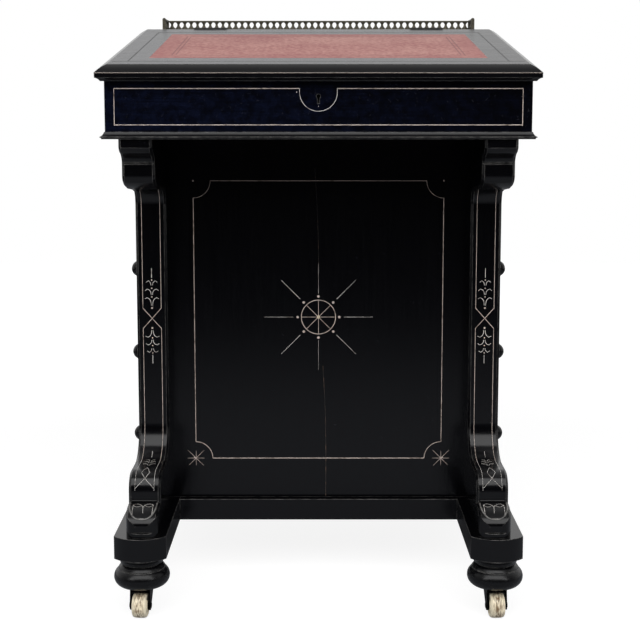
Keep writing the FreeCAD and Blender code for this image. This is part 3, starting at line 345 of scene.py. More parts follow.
def piece(name, shells, material, body, replaces=(), smooth=35.0, merge=True, attributes=None):
    """One object from closed shells given in millimetres, riding on a body of the frame."""
    offset = np.cumsum([0] + [len(points) for points, _ in shells])
    points = np.concatenate([points for points, _ in shells]) * MM
    faces = [[corner + int(start) for corner in face]
             for start, (_, shell) in zip(offset, shells) for face in shell]
    mesh = bpy.data.meshes.new(name)
    mesh.from_pydata(points.tolist(), [], faces)
    for key, values in (attributes or {}).items():
        mesh.attributes.new(key, "FLOAT", "POINT").data.foreach_set("value", values.astype(np.float32))
    work = bmesh.new()
    work.from_mesh(mesh)
    if merge:
        bmesh.ops.remove_doubles(work, verts=work.verts, dist=1e-6)
    bmesh.ops.recalc_face_normals(work, faces=work.faces)
    work.to_mesh(mesh)
    work.free()
    mesh.shade_smooth()
    mesh.set_sharp_from_angle(angle=math.radians(smooth))
    mesh.materials.append(material)
    made = added(name, mesh)
    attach(made, body)
    if replaces:
        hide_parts(*replaces)
    return made


# Materials

def per_mm(size):
    """The scale of a texture whose features are this many millimetres across."""
    return 1.0 / (size * MM)


def wire(tree, made, inputs):
    """Links a node's inputs to sockets, or to other nodes' first shown outputs, and sets the rest."""
    for socket, value in inputs.items():
        if isinstance(value, bpy.types.Node):
            value = next(output for output in value.outputs if output.enabled)
        if isinstance(value, bpy.types.NodeSocket):
            tree.links.new(value, made.inputs[socket])
        else:
            made.inputs[socket].default_value = value


def node(tree, kind, inputs=None, **settings):
    """Adds a node, sets its settings, and links or sets its inputs."""
    made = tree.nodes.new(kind)
    for key, value in settings.items():
        setattr(made, key, value)
    wire(tree, made, inputs or {})
    return made


def blank(name):
    """A new material's node tree, its Principled shader and its object coordinates."""
    material = bpy.data.materials.new(name)
    material.use_nodes = True
    tree = material.node_tree
    shader = tree.nodes["Principled BSDF"]
    where = node(tree, "ShaderNodeTexCoord").outputs["Object"]
    return material, tree, shader, where


# Least and greatest roughness of the polish: kept up, plain, and rubbed by hands
MIRROR_GLOSS, SOFT_GLOSS, DULL_GLOSS = (0.08, 0.14), (0.15, 0.22), (0.24, 0.33)


def ebonised(name, colours, stretch, black, gloss=SOFT_GLOSS, scratching=0.04):
    """Hardwood stained black and French polished: nearly black with a soft mirror, fine grain lines
    along the board, hand marks in the gloss, and edges slightly round and painted grey, partly rubbed wear
    and partly a painted highlight along the arrises."""
    material, tree, shader, where = blank(name)
    along = node(tree, "ShaderNodeMapping", {"Vector": where, "Scale": stretch})
    # Real pores are 0.3 mm wide; 2 mm is the finest that the render still shows
    grain = node(tree, "ShaderNodeTexNoise", {
        "Vector": along, "Scale": per_mm(2.0), "Detail": 5.0, "Roughness": 0.6})
    marks = node(tree, "ShaderNodeTexNoise", {"Vector": where, "Scale": per_mm(9.0), "Detail": 4.0})
    rounded = node(tree, "ShaderNodeBevel", {"Radius": 1.3 * MM}, samples=6)
    shape = node(tree, "ShaderNodeNewGeometry")
    turned = node(tree, "ShaderNodeVectorMath", {
        0: rounded, 1: shape.outputs["Normal"]}, operation="DOT_PRODUCT")
    # Edges that the rounding turns are painted grey in short broken lengths: partly rubbed wear, partly a
    # painted highlight
    edge_wear_and_highlight = node(tree, "ShaderNodeMapRange", {"Value": turned, "From Min": 0.995, "From Max": 0.93})
    patchy = node(tree, "ShaderNodeMapRange", {
        "Value": marks, "From Min": 0.35, "From Max": 0.65, "To Min": 0.1})
    worn = node(tree, "ShaderNodeMath", {0: edge_wear_and_highlight, 1: patchy}, operation="MULTIPLY")
    # The bloom and haze tints are strongest at the left end of the board and fade to the right: a painted
    # sheen, with the left end drawn lighter as if more light fell there
    end = node(tree, "ShaderNodeSeparateXYZ", {"Vector": where})
    painted_sheen_fade = node(tree, "ShaderNodeMapRange", {
        "Value": end.outputs["X"], "From Min": -0.25, "From Max": 0.25, "To Min": 1.0, "To Max": 0.25})
    streaks = node(tree, "ShaderNodeMapRange", {
        "Value": grain, "From Min": 0.35, "From Max": 0.68, "To Min": 0.4, "To Max": 1.2})
    clouds = node(tree, "ShaderNodeMapRange", {
        "Value": marks, "From Min": 0.35, "From Max": 0.65, "To Min": 0.35, "To Max": 1.4})
    mottle = node(tree, "ShaderNodeMath", {0: streaks, 1: clouds}, operation="MULTIPLY")
    depth = node(tree, "ShaderNodeMath", {0: painted_sheen_fade, 1: mottle}, operation="MULTIPLY")
    stain_and_painted_sheen = node(tree, "ShaderNodeMix", {0: depth, 6: colours.ebony, 7: black}, data_type="RGBA")
    scratched = node(tree, "ShaderNodeTexNoise", {
        "Vector": where, "Scale": per_mm(7.0), "Detail": 6.0, "Roughness": 0.72, "Distortion": 1.6})
    scuffs = node(tree, "ShaderNodeMapRange", {
        "Value": scratched, "From Min": 0.66, "From Max": 0.8, "To Max": 0.6})
    # Hair scratches lie along the level lines of a slow noise, and come in patches
    level = node(tree, "ShaderNodeTexNoise", {
        "Vector": where, "Scale": per_mm(16.0), "Detail": 1.0, "Distortion": 1.2})
    off = node(tree, "ShaderNodeMath", {0: level, 1: 0.5}, operation="SUBTRACT")
    near = node(tree, "ShaderNodeMath", {0: off}, operation="ABSOLUTE")
    hair = node(tree, "ShaderNodeMapRange", {
        "Value": near, "From Min": 0.012, "From Max": 0.005, "To Max": scratching})
    patches = node(tree, "ShaderNodeMapRange", {"Value": scratched, "From Min": 0.54, "From Max": 0.64})
    scratches = node(tree, "ShaderNodeMath", {0: hair, 1: patches}, operation="MULTIPLY")
    damage = node(tree, "ShaderNodeMath", {0: scuffs, 1: scratches}, operation="MAXIMUM")
    scuffed = node(tree, "ShaderNodeMix", {0: damage, 6: stain_and_painted_sheen, 7: colours.scuff}, data_type="RGBA")
    # Painted grey along the edges: rubbed wear and a painted highlight
    tone = node(tree, "ShaderNodeMix", {0: worn, 6: scuffed, 7: colours.ebony_wear_and_highlight}, data_type="RGBA")
    polish = node(tree, "ShaderNodeMapRange", {
        "Value": grain, "From Min": 0.3, "From Max": 0.75, "To Min": gloss[0], "To Max": gloss[1]})
    relief = node(tree, "ShaderNodeBump", {
        "Height": grain, "Strength": 0.12, "Distance": 0.25 * MM, "Normal": rounded})
    wire(tree, shader, {"Base Color": tone, "Roughness": polish, "Normal": relief, "IOR": 1.38})
    return material


def gilding(name, bright, worn):
    """Bronze powder on gold size in a cut line: matt, warm and pale, rubbed through in short lengths."""
    material, tree, shader, where = blank(name)
    rubbed = node(tree, "ShaderNodeTexNoise", {
        "Vector": where, "Scale": per_mm(9.0), "Detail": 5.0, "Roughness": 0.65})
    share = node(tree, "ShaderNodeMapRange", {"Value": rubbed, "From Min": 0.5, "From Max": 0.72})
    tone = node(tree, "ShaderNodeMix", {0: share, 6: bright, 7: worn}, data_type="RGBA")
    wire(tree, shader, {"Base Color": tone, "Roughness": 0.5})
    return material


def skiver(name, colours, sizes):
    """Thin sheepskin, dyed red and faded: a fine pebble, pale rubbed patches, and a blind tooled band."""
    material, tree, shader, where = blank(name)
    # Real skiver grain is 0.4 mm; 1.2 mm is the finest that the render still shows
    pebble = node(tree, "ShaderNodeTexVoronoi", {"Vector": where, "Scale": per_mm(1.2)})
    inset = node(tree, "ShaderNodeAttribute", attribute_name="inset")
    down = node(tree, "ShaderNodeMapping", {"Vector": where, "Scale": (0.55, 0.3, 0.3)})
    rubbing = node(tree, "ShaderNodeTexNoise", {
        "Vector": down, "Scale": per_mm(3.0), "Detail": 3.0, "Roughness": 0.6})
    fading = node(tree, "ShaderNodeTexNoise", {"Vector": where, "Scale": per_mm(90.0), "Detail": 1.0})
    mottle = node(tree, "ShaderNodeMath", {0: rubbing, 1: 2.4, 2: fading}, operation="MULTIPLY_ADD")
    faded = node(tree, "ShaderNodeMapRange", {
        "Value": mottle, "From Min": 1.2, "From Max": 2.2, "To Min": 0.05, "To Max": 0.95})
    border = node(tree, "ShaderNodeMapRange", {
        "Value": inset.outputs["Fac"], "From Max": 45.0, "To Min": 0.6, "To Max": 1.1})
    pale = node(tree, "ShaderNodeMath", {0: faded, 1: border}, operation="MULTIPLY")
    tone = node(tree, "ShaderNodeMix", {
        0: pale, 6: colours.leather, 7: colours.leather_pale}, data_type="RGBA")
    middle = (sizes.tooling_inset + sizes.tooling_width / 2) / MM
    off = node(tree, "ShaderNodeMath", {0: inset.outputs["Fac"], 1: middle}, operation="SUBTRACT")
    out = node(tree, "ShaderNodeMath", {0: off}, operation="ABSOLUTE")
    edge = node(tree, "ShaderNodeMath", {0: out, 1: sizes.tooling_width / MM / 2}, operation="SUBTRACT")
    near = node(tree, "ShaderNodeMath", {0: edge}, operation="ABSOLUTE")
    line = node(tree, "ShaderNodeMapRange", {
        "Value": near, "From Min": 1.1, "From Max": 0.5, "To Max": 0.7})
    tooled = node(tree, "ShaderNodeMix", {0: line, 6: tone, 7: colours.tooling}, data_type="RGBA")
    relief = node(tree, "ShaderNodeBump", {"Height": pebble, "Strength": 0.3, "Distance": 0.2 * MM})
    wire(tree, shader, {"Base Color": tooled, "Normal": relief, "Roughness": 0.52, "IOR": 1.45})
    return material


def aged_metal(name, bright, dark, grain, roughness, bare=1.0):
    """Old cast metal: bright where it is handled, tarnished in the hollows, with a fine cast grain."""
    material, tree, shader, where = blank(name)
    cast = node(tree, "ShaderNodeTexNoise", {"Vector": where, "Scale": per_mm(grain), "Detail": 5.0})
    share = node(tree, "ShaderNodeMapRange", {"Value": cast, "From Min": 0.38, "From Max": 0.72})
    tone = node(tree, "ShaderNodeMix", {0: share, 6: bright, 7: dark}, data_type="RGBA")
    rough = node(tree, "ShaderNodeMapRange", {
        "Value": cast, "From Min": 0.3, "From Max": 0.8, "To Min": roughness, "To Max": roughness + 0.25})
    relief = node(tree, "ShaderNodeBump", {"Height": cast, "Strength": 0.15, "Distance": 0.2 * MM})
    wire(tree, shader, {"Base Color": tone, "Roughness": rough, "Normal": relief, "Metallic": bare})
    return material


def glazed(name, colours):
    """Cream glazed pottery: pale, softly shiny, with streaks of floor dirt along the tread."""
    material, tree, shader, where = blank(name)
    rolling = node(tree, "ShaderNodeMapping", {"Vector": where, "Scale": (1.0, 0.3, 0.3)})
    dirt = node(tree, "ShaderNodeTexNoise", {"Vector": rolling, "Scale": per_mm(1.8), "Detail": 4.0})
    tread = node(tree, "ShaderNodeAttribute", attribute_name="tread")
    mottled = node(tree, "ShaderNodeMapRange", {"Value": dirt, "From Min": 0.37, "From Max": 0.62})
    share = node(tree, "ShaderNodeMath", {0: mottled, 1: tread.outputs["Fac"]}, operation="MULTIPLY")
    tone = node(tree, "ShaderNodeMix", {
        0: share, 6: colours.wheel, 7: colours.wheel_worn}, data_type="RGBA")
    wire(tree, shader, {"Base Color": tone, "Roughness": 0.35})
    return material


def lining_wood(name, colours):
    """Plain mahogany, planed and waxed: straight brown grain along the drawer, hardly any gloss."""
    material, tree, shader, where = blank(name)
    along = node(tree, "ShaderNodeMapping", {"Vector": where, "Scale": (0.04, 1.0, 1.0)})
    grain = node(tree, "ShaderNodeTexNoise", {
        "Vector": along, "Scale": per_mm(3.0), "Detail": 6.0, "Roughness": 0.6})
    share = node(tree, "ShaderNodeMapRange", {"Value": grain, "From Min": 0.35, "From Max": 0.7})
    tone = node(tree, "ShaderNodeMix", {
        0: share, 6: colours.lining, 7: colours.lining_dark}, data_type="RGBA")
    relief = node(tree, "ShaderNodeBump", {"Height": grain, "Strength": 0.2, "Distance": 0.3 * MM})
    wire(tree, shader, {"Base Color": tone, "Normal": relief, "Roughness": 0.6})
    return material


def finish(name):
    """A finish that the first operator made."""
    return bpy.data.materials[name]


GRAIN_ACROSS = (0.03, 1.0, 1.0)
GRAIN_DEEP = (1.0, 0.03, 1.0)
GRAIN_UPRIGHT = (1.0, 1.0, 0.03)
LACQUERED_NODES = ("hinge_fixed_leaves", "hinge_lid_leaves", "hinge_pins", "lock_case")
WORN_NODES = ("lid_board", "fixed_top")
RUBBED_NODES = ("desk_moulding", "bun_feet")
UPRIGHT_NODES = ("scroll_leg_left", "scroll_leg_right", "corner_posts", "front_panel", "back_panel")
DEEP_NODES = ("desk_side_left", "desk_side_right", "plinth_arm_left", "plinth_arm_right",
              "drawer_rails_left", "drawer_rails_right", "dummy_drawer_fronts", "dummy_knobs",
              *("drawer_%d_%s" % (n, part) for n in DRAWERS for part in ("front", "knobs")))


class DAVENPORT_OT_finishes(Operator):
    """Makes the finishes and gives each node of the frame its own"""

    bl_idname = "davenport.finishes"
    bl_label = "Finishes"

    def execute(self, context):
        colours = context.scene.davenport_colours
        sizes = context.scene.davenport_sizes
        across = ebonised("ebonised_wood_across", colours, GRAIN_ACROSS, colours.ebony)
        deep = ebonised("ebonised_wood_deep", colours, GRAIN_DEEP, colours.ebony)
        up = ebonised("ebonised_wood_upright", colours, GRAIN_UPRIGHT, colours.ebony)
        # The box front's finish: blue bloom with a painted sheen, lighter at the left end
        bloom_and_sheen_wood = ebonised("bloom_and_painted_sheen_ebonised_wood", colours, GRAIN_ACROSS, colours.bloom, MIRROR_GLOSS, 0.3)
        worn = ebonised("worn_ebonised_wood", colours, GRAIN_ACROSS, colours.haze, DULL_GLOSS)
        rubbed = ebonised("rubbed_ebonised_wood", colours, GRAIN_ACROSS, colours.ebony, DULL_GLOSS)
        gilding("gilded_line", colours.gilt, colours.gilt_worn)
        gilding("bright_gold", colours.gold, colours.gilt)
        gilding("rubbed_gilding", colours.silvered, colours.gilt_worn)
        gilding("incised_line", colours.incised, colours.haze)
        # The toe rim's grey: rubbed wear and a painted highlight
        gilding("rim_wear_and_painted_highlight", colours.ebony_wear_and_highlight, colours.ebony)
        gilding("open_joint", colours.joint_dirt, colours.joint)
        slots = {
            "ebonised_wood": across,
            "lining_wood": lining_wood("waxed_mahogany_lining", colours),
            "leather": skiver("faded_red_skiver", colours, sizes),
            "gallery_brass": aged_metal("aged_cast_brass", colours.brass, colours.brass_dark, 3.0, 0.4,
                                        bare=0.5),
            "fitting_brass": aged_metal("dull_sheet_brass", colours.fitting, colours.brass_dark, 5.0, 0.3),
            "castor_metal": aged_metal("blackened_iron", colours.iron, colours.ebony, 2.5, 0.4),
            "castor_wheel": glazed("cream_glazed_pottery", colours),
        }
        lacquered = aged_metal("black_lacquered_brass", colours.iron, colours.brass_dark, 6.0, 0.4,
                               bare=0.5)
        special = {"desk_front": bloom_and_sheen_wood, **dict.fromkeys(UPRIGHT_NODES, up),
                   **dict.fromkeys(DEEP_NODES, deep), **dict.fromkeys(WORN_NODES, worn),
                   **dict.fromkeys(RUBBED_NODES, rubbed), **dict.fromkeys(LACQUERED_NODES, lacquered)}
        for part in frame["record"]["subparts"]:
            mesh = frame["nodes"][part["node"]].data
            mesh.materials.clear()
            mesh.materials.append(special.get(part["node"], slots[part["material_slot"]]))
        return {"FINISHED"}


def gild(name, place, lines, dots, material, body="carcase"):
    """One piece of drawn decoration on the wood of a body."""
    shells = drawn(place, lines, dots, bpy.context.scene.davenport_sizes)
    piece(name, shells, finish(material), body)


def ray(centre, degrees, start, end):
    """Two points in one direction from a centre: centre + distance (cos a, sin a)."""
    a = math.radians(degrees)
    way = np.array([math.cos(a), math.sin(a)])
    return [centre + way * distance for distance in (start, end)]


# A corner star's rays: reach in millimetres and direction in degrees
STAR = ((12.0, 0), (16.5, 45), (10.5, 90), (16.5, 135), (12.0, 180), (15.0, 225), (10.5, 270), (14.0, 315))
# Dots in the upper corners, and a spot of gilt beside each star's middle
CORNER_DOT = 1.2
STAR_SPOT = (2.0, 1.0)
STAR_SPOT_RADIUS = 1.0
# The panel's upper line, as a share of the gilt's width: drawn thin so that it reads darker, a painted
# shade for the shadow of the overhanging box
SHADE_THINNED_SHARE = 0.55
# The sun's rays from the right round: start and end in millimetres from the hub, share of the gilt's width
SUN_RAYS = 2 * ((36.0, 77.0, 0.75), (36.5, 74.5, 0.85), (33.5, 76.0, 0.38), (36.5, 74.5, 0.85))
SUN_DOT_RING = 29.4
SUN_DOT = 1.8
SUN_BOSS = 2.3
# The panel's boards have shrunk apart at their joint: points on the panel, shares of the gilt's width
OPEN_JOINT = [([(-4.9, 580.0), (-1.0, 510.0), (0.3, 446.0)], (0.2, 0.2)),
              ([(6.4, 301.0), (10.0, 230.0), (10.6, 170.0), (10.4, 112.0)], (0.35, 0.8))]


class DAVENPORT_OT_panel_gilding(Operator):
    """Lays the front panel's gilt line, corner stars and sun wheel"""

    bl_idname = "davenport.panel_gilding"
    bl_label = "Panel gilding"

    def execute(self, context):
        s = context.scene.davenport_sizes
        half, low, high, r = (v / MM for v in (s.panel_half, s.panel_low, s.panel_high, s.panel_corner))
        hub, rim = (0.0, s.wheel_height / MM), s.wheel_radius / MM
        lines = [([(half, low + r), (half, high - r)], 1.0),
                 (arc((half, low), r, 90, 180), 1.0), (arc((half, high), r, 180, 270), SHADE_THINNED_SHARE)]
        # A star of eight rays stands in each lower corner, a dot in each upper one
        lines += [(ray((half, low), turn, 0.0, reach), (0.8, 0.4)) for reach, turn in STAR]
        dots = mirrored([((half, high), CORNER_DOT),
                         (np.array((half, low)) + STAR_SPOT, STAR_SPOT_RADIUS)])
        lines = mirrored(lines)
        # The lower line is drawn wider so that it reads brighter, a painted highlight; the upper line is
        # thinned for painted shade
        lines += [([(r - half, low), (half - r, low)], 1.3),
                  ([(r - half, high), (half - r, high)], SHADE_THINNED_SHARE), (arc(hub, rim, 90, 450, 96), 1.1)]
        rays = []
        for n, (start, end, share) in enumerate(SUN_RAYS):
            turn = n * 360 / len(SUN_RAYS)
            lines.append((ray(hub, turn, 0.0, rim), 0.75))
            rays.append((ray(hub, turn, start, end), (share, 0.5 * share)))
            dots.append((ray(hub, turn, 0.0, SUN_DOT_RING)[1], SUN_DOT))
        face = upright(PANEL_FACE)
        gild("sun_boss", face, [], [(hub, SUN_BOSS)], "bright_gold")
        gild("panel_gilding", face, lines, dots, "gilded_line")
        gild("sun_rays", face, rays, [], "rubbed_gilding")
        gild("panel_joint", face, OPEN_JOINT, [], "open_joint")
        return {"FINISHED"}


# The straight fall of the keyhole's line before its half round, and how far lines run past a corner
LOCK_FALL = 4.5
CORNER_LAP = 1.0
LOCK_LAP = 0.4
# Stray dots of gilt beside the half round and under the keyhole: places on the front, and radii
BOX_DOTS = [((-27.0, 681.0), 0.8), ((0.0, 663.5), 0.5)]


class DAVENPORT_OT_box_gilding(Operator):
    """Lays the gilt line on the box front, with its half round under the keyhole"""

    bl_idname = "davenport.box_gilding"
    bl_label = "Box gilding"

    def execute(self, context):
        s = context.scene.davenport_sizes
        half, low, high, r = (v / MM for v in (s.box_half, s.box_low, s.box_high, s.lock_radius))
        face = upright(FRONT_FACE)
        lines = mirrored([([(half, low - CORNER_LAP), (half, high)], 0.95),
                          ([(half, high), (r, high)], 1.2)])
        lines.append(([(-half, low), (half, low)], 1.1))
        gild("box_gilding", face, lines, [], "gilded_line")
        lines = mirrored([([(r, high + LOCK_LAP), (r, high - LOCK_FALL)], 0.7)])
        lines.append((arc((0.0, high - LOCK_FALL), r, 180, 360, 48), 0.7))
        gild("keyhole_gilding", face, lines, BOX_DOTS, "rubbed_gilding")
        return {"FINISHED"}


# A leg's ornament, in millimetres above and below its crossing, where what hangs below is a little shorter.
# Curls are (foot, width, height, droop), and dots are (place, radius)
ABOVE, BELOW = -1.0, 0.9
CROSS_RISE, CROSS_FALL = 14.4, 13.8
SHAFT_CURLS = ((18.0, 9.6, 11.0, 1.6), (33.0, 9.2, 8.0, 2.4), (46.0, 7.6, 6.5, 2.2))
SHAFT_DOTS = ((14.6, 1.3), (30.0, 0.9), (42.0, 0.9), (53.4, 0.9))
SHAFT_DASH = (56.5, 69.5)
# Places in millimetres down the leg's front from the top of its cove: lines, then what is on the scroll
LINE_TOP, SCROLL_TOP, LINE_FOOT = 6.0, 400.0, 480.0
SCROLL_DASH = (377.0, 390.0)
SCROLL_CURLS = ((424.0, 8.5, 9.0, 1.0), (412.0, 7.5, 8.0, 1.5), (403.0, 6.0, 6.5, 1.5))
LOOP_TOP, LOOP_WAIST, LOOP_FOOT = 434.9, 463.8, 477.0
LOOP_HALF = 5.5
# The toe's tongue: half of its top, lobe, side and tip, each with the count of points along it and its
# share of the gilt's width; and its stem
TONGUE = ((((0.8, 511.0), (2.5, 506.5), (7.0, 503.5), (11.5, 504.5), (13.2, 508.0)), 20, 0.5),
          (((2.5, 508.0), (6.5, 511.5), (11.0, 510.0), (13.2, 506.5)), 16, 0.45),
          (((13.2, 506.0), (13.0, 522.0)), 2, 0.55),
          (((13.0, 522.0), (12.0, 528.0), (8.0, 531.0), (0.0, 531.6)), 20, 0.55))
STEM = ((0.0, 510.0), (-1.0, 523.0))
# The raised rim round the toe, painted grey for rubbed wear and a painted highlight; and the small bead
# that parts the belly from it
TOE_HALF = 17.5
RIM_TOP, RIM_BROW, RIM_DEPTH = 501.0, 508.0, 24.6
RIM_WIDTH, RIM_HEIGHT, RIM_STEP = 1.9, 0.8, 1.5
BEAD_END = ((0.0, 0.0), (1.2, 0.4), (1.6, 2.0))
BEAD_PLACE = (BELLY_FOOT[0] - 0.4, BELLY_FOOT[1] + 1.2)


def curl(foot, width, height, droop):
    """One hooked curl: it leaves the middle upwards, bends over, and its outer end droops."""
    return smoothed([(0.9, foot), (1.6, foot + 0.55 * height), (0.45 * width, foot + 0.92 * height),
                     (0.72 * width, foot + height), (width, foot + height - droop)], 14)


def leg_design(sizes):
    """A leg's gilt lines, its dots and its rubbed lines, across it and down its front."""
    u = sizes.leg_line / MM
    cross = COVE[1] * math.pi / 2 + COVE[0][1] - sizes.cross_height / MM
    rise, fall = cross - CROSS_RISE, cross + CROSS_FALL
    lines = mirrored([([(u, LINE_TOP), (u, rise)], 0.75), ([(u, rise), (-u, fall)], 0.9),
                      ([(u, fall), (u, SCROLL_TOP)], (0.75, 0.75, 0.5))])
    curls = [(curl(*shape) * (1, way) + (0, cross), 0.8) for shape in SHAFT_CURLS for way in (ABOVE, BELOW)]
    rubbed = mirrored(curls)
    dots = []
    for way in (ABOVE, BELOW):
        dots += [((0.0, cross + way * at), radius) for at, radius in SHAFT_DOTS]
        rubbed.append(([(0.0, cross + way * at) for at in SHAFT_DASH], 0.8))
    # On the scroll: the lines' ends, a looped cross over the belly, three pairs of curls and a dash
    bulge = 0.35 * LOOP_TOP + 0.65 * LOOP_WAIST
    scroll = [([(u, SCROLL_TOP), (u, LINE_FOOT)], (0.5, 0.35)),
              ([(0.0, LOOP_TOP), (LOOP_HALF, bulge), (0.0, LOOP_WAIST), (0.5 - u, LOOP_FOOT)], 0.5)]
    scroll += [(curl(0.0, *shape) * (1, -1) + (0, foot), 0.55) for foot, *shape in SCROLL_CURLS]
    scroll += [(smoothed(points, count), share) for points, count, share in TONGUE]
    scroll = mirrored(scroll)
    scroll += [([(0.0, at) for at in SCROLL_DASH], 0.5), (STEM, 0.5)]
    return lines, dots, rubbed + scroll


def toe_rim():
    """The rim's line, half a rounded square: across = half sign(cos a) |cos a|^0.75 and
    along = brow + depth sin a, with short straight ends."""
    a = np.radians(np.linspace(0, 180, 61))
    across = TOE_HALF * np.sign(np.cos(a)) * np.abs(np.cos(a)) ** 0.75
    bend = np.stack([across, RIM_BROW + RIM_DEPTH * np.sin(a)], -1)
    return np.concatenate([[(TOE_HALF, RIM_TOP)], bend, [(-TOE_HALF, RIM_TOP)]])


class DAVENPORT_OT_leg_gilding(Operator):
    """Lays the gilt lines, crossings and curls on the scroll legs"""

    bl_idname = "davenport.leg_gilding"
    bl_label = "Leg gilding"

    def execute(self, context):
        lines, dots, rubbed = leg_design(context.scene.davenport_sizes)
        bead = [*BEAD_END, *((radius, 2 * TOE_HALF - at) for radius, at in reversed(BEAD_END))]
        for side, name in ((-1, "left"), (1, "right")):
            front = leg_front(side)
            gild("leg_gilding_" + name, front, lines, dots, "gilded_line")
            gild("foot_gilding_" + name, front, rubbed, [], "rubbed_gilding")
            shells = [strip(front, toe_rim(), RIM_WIDTH, RIM_HEIGHT, RIM_STEP)]
            piece("toe_rim_" + name, shells, finish("rim_wear_and_painted_highlight"), "carcase")
            shells = [lathe(bead, (side * LEG_MIDDLE - TOE_HALF, *BEAD_PLACE), (1, 0, 0), THIN_SIDES)]
            piece("toe_bead_" + name, shells, finish("ebonised_wood_across"), "carcase",
                  smooth=60.0)
        return {"FINISHED"}


# The lid's lines: the gilt line's inset on the lip, and the incised frame's near and far lines, measured
# from the lid's front edge in plan, with the half widths of the frame and of its longer near line
LIP_INSET = 0.6
FRAME_NEAR, FRAME_FAR = 37.0, 363.0
FRAME_HALF, FRAME_NEAR_HALF = 238.5, 258.0


class DAVENPORT_OT_lid_lines(Operator):
    """Lays the gilt line along the lid's front arris and the incised frame on its top"""

    bl_idname = "davenport.lid_lines"
    bl_label = "Lid lines"

    def execute(self, context):
        half = CAD_BOX[1].x / MM - LIP_INSET
        line = [(-half, LIP_INSET), (half, LIP_INSET)]
        gild("lid_gilding", lid_lip, [(line, 0.48)], [], "gilded_line", "lid")
        depth = HINGE_Y - CAD_BOX[0].y / MM
        near, far = ((depth - inset) / LID_COS for inset in (FRAME_NEAR, FRAME_FAR))
        lines = mirrored([([(FRAME_HALF, near), (FRAME_HALF, far)], 1.9)])
        lines += [([(-FRAME_NEAR_HALF, near), (FRAME_NEAR_HALF, near)], 1.2),
                  ([(-FRAME_HALF, far), (FRAME_HALF, far)], 1.2)]
        gild("lid_incised_frame", lid_surface, lines, [], "incised_line", "lid")
        return {"FINISHED"}


# The leather's surface in millimetres: it rises a little inside its rim, waves faintly, is pressed in by
# the tooling, and stands clear of the bottom of its recess
LEATHER_COLUMNS, LEATHER_ROWS = 217, 138
LEATHER_RIM, LEATHER_RISE = 0.5, 0.1
WAVE_HEIGHT = 0.06
TOOLING_DEPTH = 0.12
RECESS_GAP = 0.02


class DAVENPORT_OT_leather(Operator):
    """Lays the leather in the lid, faintly wavy and tooled with a band inside its edge"""

    bl_idname = "davenport.leather"
    bl_label = "Leather"

    def execute(self, context):
        s = context.scene.davenport_sizes
        end = LEATHER_START + LEATHER_LENGTH
        x, d = np.meshgrid(np.linspace(-LEATHER_HALF, LEATHER_HALF, LEATHER_COLUMNS),
                           np.linspace(LEATHER_START, end, LEATHER_ROWS))
        inset = np.minimum(LEATHER_HALF - np.abs(x), np.minimum(d - LEATHER_START, end - d))
        # Two crossing sine waves of 100 to 300 mm, and a bell-shaped groove along each tooled line
        waves = WAVE_HEIGHT * (np.sin(x / 31.0 + d / 47.0) + np.sin(x / 17.0 - d / 23.0))
        edges = s.tooling_inset / MM + np.array([0.0, s.tooling_width / MM])
        tooling = TOOLING_DEPTH * np.exp(-((inset[..., None] - edges) ** 2)).sum(-1)
        lift = np.where(inset < LEATHER_RIM, 0.0, LEATHER_RISE + waves) - tooling
        points, normals = lid_surface(np.stack([x, d], -1).reshape(-1, 2))
        top = (points + normals * lift.reshape(-1, 1)).reshape(*x.shape, 3)
        under = (points - normals * (LEATHER_THICK - RECESS_GAP)).reshape(*x.shape, 3)
        rings = np.concatenate([top, under[:, ::-1]], 1)
        inset = np.concatenate([inset, inset[:, ::-1]], 1).ravel()
        made = piece("writing_leather", [skin(rings)], finish("faded_red_skiver"), "lid",
                     ("lid_leather",), merge=False, attributes={"inset": inset})
        return {"FINISHED"}


# The gallery in millimetres: half its width, its back, the width of a post and the length of a return
GALLERY_HALF, GALLERY_BACK, GALLERY_POST, GALLERY_RETURN = 242.0, 245.0, 5.0, 37.0
BACK_SPINDLES, SIDE_SPINDLES = 47, 4
# A spindle from the base strip up: its radius in millimetres and the share of its height
SPINDLE = ((5.0, 0.0), (5.0, 0.2), (5.0, 0.39), (4.2, 0.44), (3.2, 0.5), (2.5, 0.57), (2.0, 0.65),
           (1.8, 0.74), (1.9, 0.81), (2.4, 0.88), (3.4, 0.95), (4.2, 1.0))
SPINDLE_FLAT = 0.55


def spread(count):
    """The middles of equal parts of a length of one."""
    return (np.arange(count) + 0.5) / count


class DAVENPORT_OT_gallery(Operator):
    """Turns the gallery's vase spindles"""

    bl_idname = "davenport.gallery"
    bl_label = "Gallery spindles"

    def execute(self, context):
        low, high = (corner.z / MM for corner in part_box("gallery_spindles"))
        profile = smoothed([(radius, low + share * (high - low)) for radius, share in SPINDLE], 22)
        back_run = 2 * GALLERY_HALF - GALLERY_POST
        xs = spread(BACK_SPINDLES) * back_run - back_run / 2
        ys = GALLERY_BACK - GALLERY_POST / 2 - spread(SIDE_SPINDLES) * GALLERY_RETURN
        points, faces = lathe(profile, (0.0, 0.0, 0.0), (0, 0, 1), THIN_SIDES)
        shells = [(points * (1.0, SPINDLE_FLAT, 1.0) + (x, GALLERY_BACK, 0.0), faces) for x in xs]
        shells += [(points * (SPINDLE_FLAT, 1.0, 1.0) + (side * GALLERY_HALF, y, 0.0), faces)
                   for side in (-1, 1) for y in ys]
        piece("gallery_vase_spindles", shells, finish("aged_cast_brass"), "carcase",
              ("gallery_spindles",), smooth=60.0)
        return {"FINISHED"}


# The castors and their axles' directions in plan, in degrees from the x axis
AXLES = {"fl": -4.0, "fr": 4.0, "rl": 20.0, "rr": -20.0}
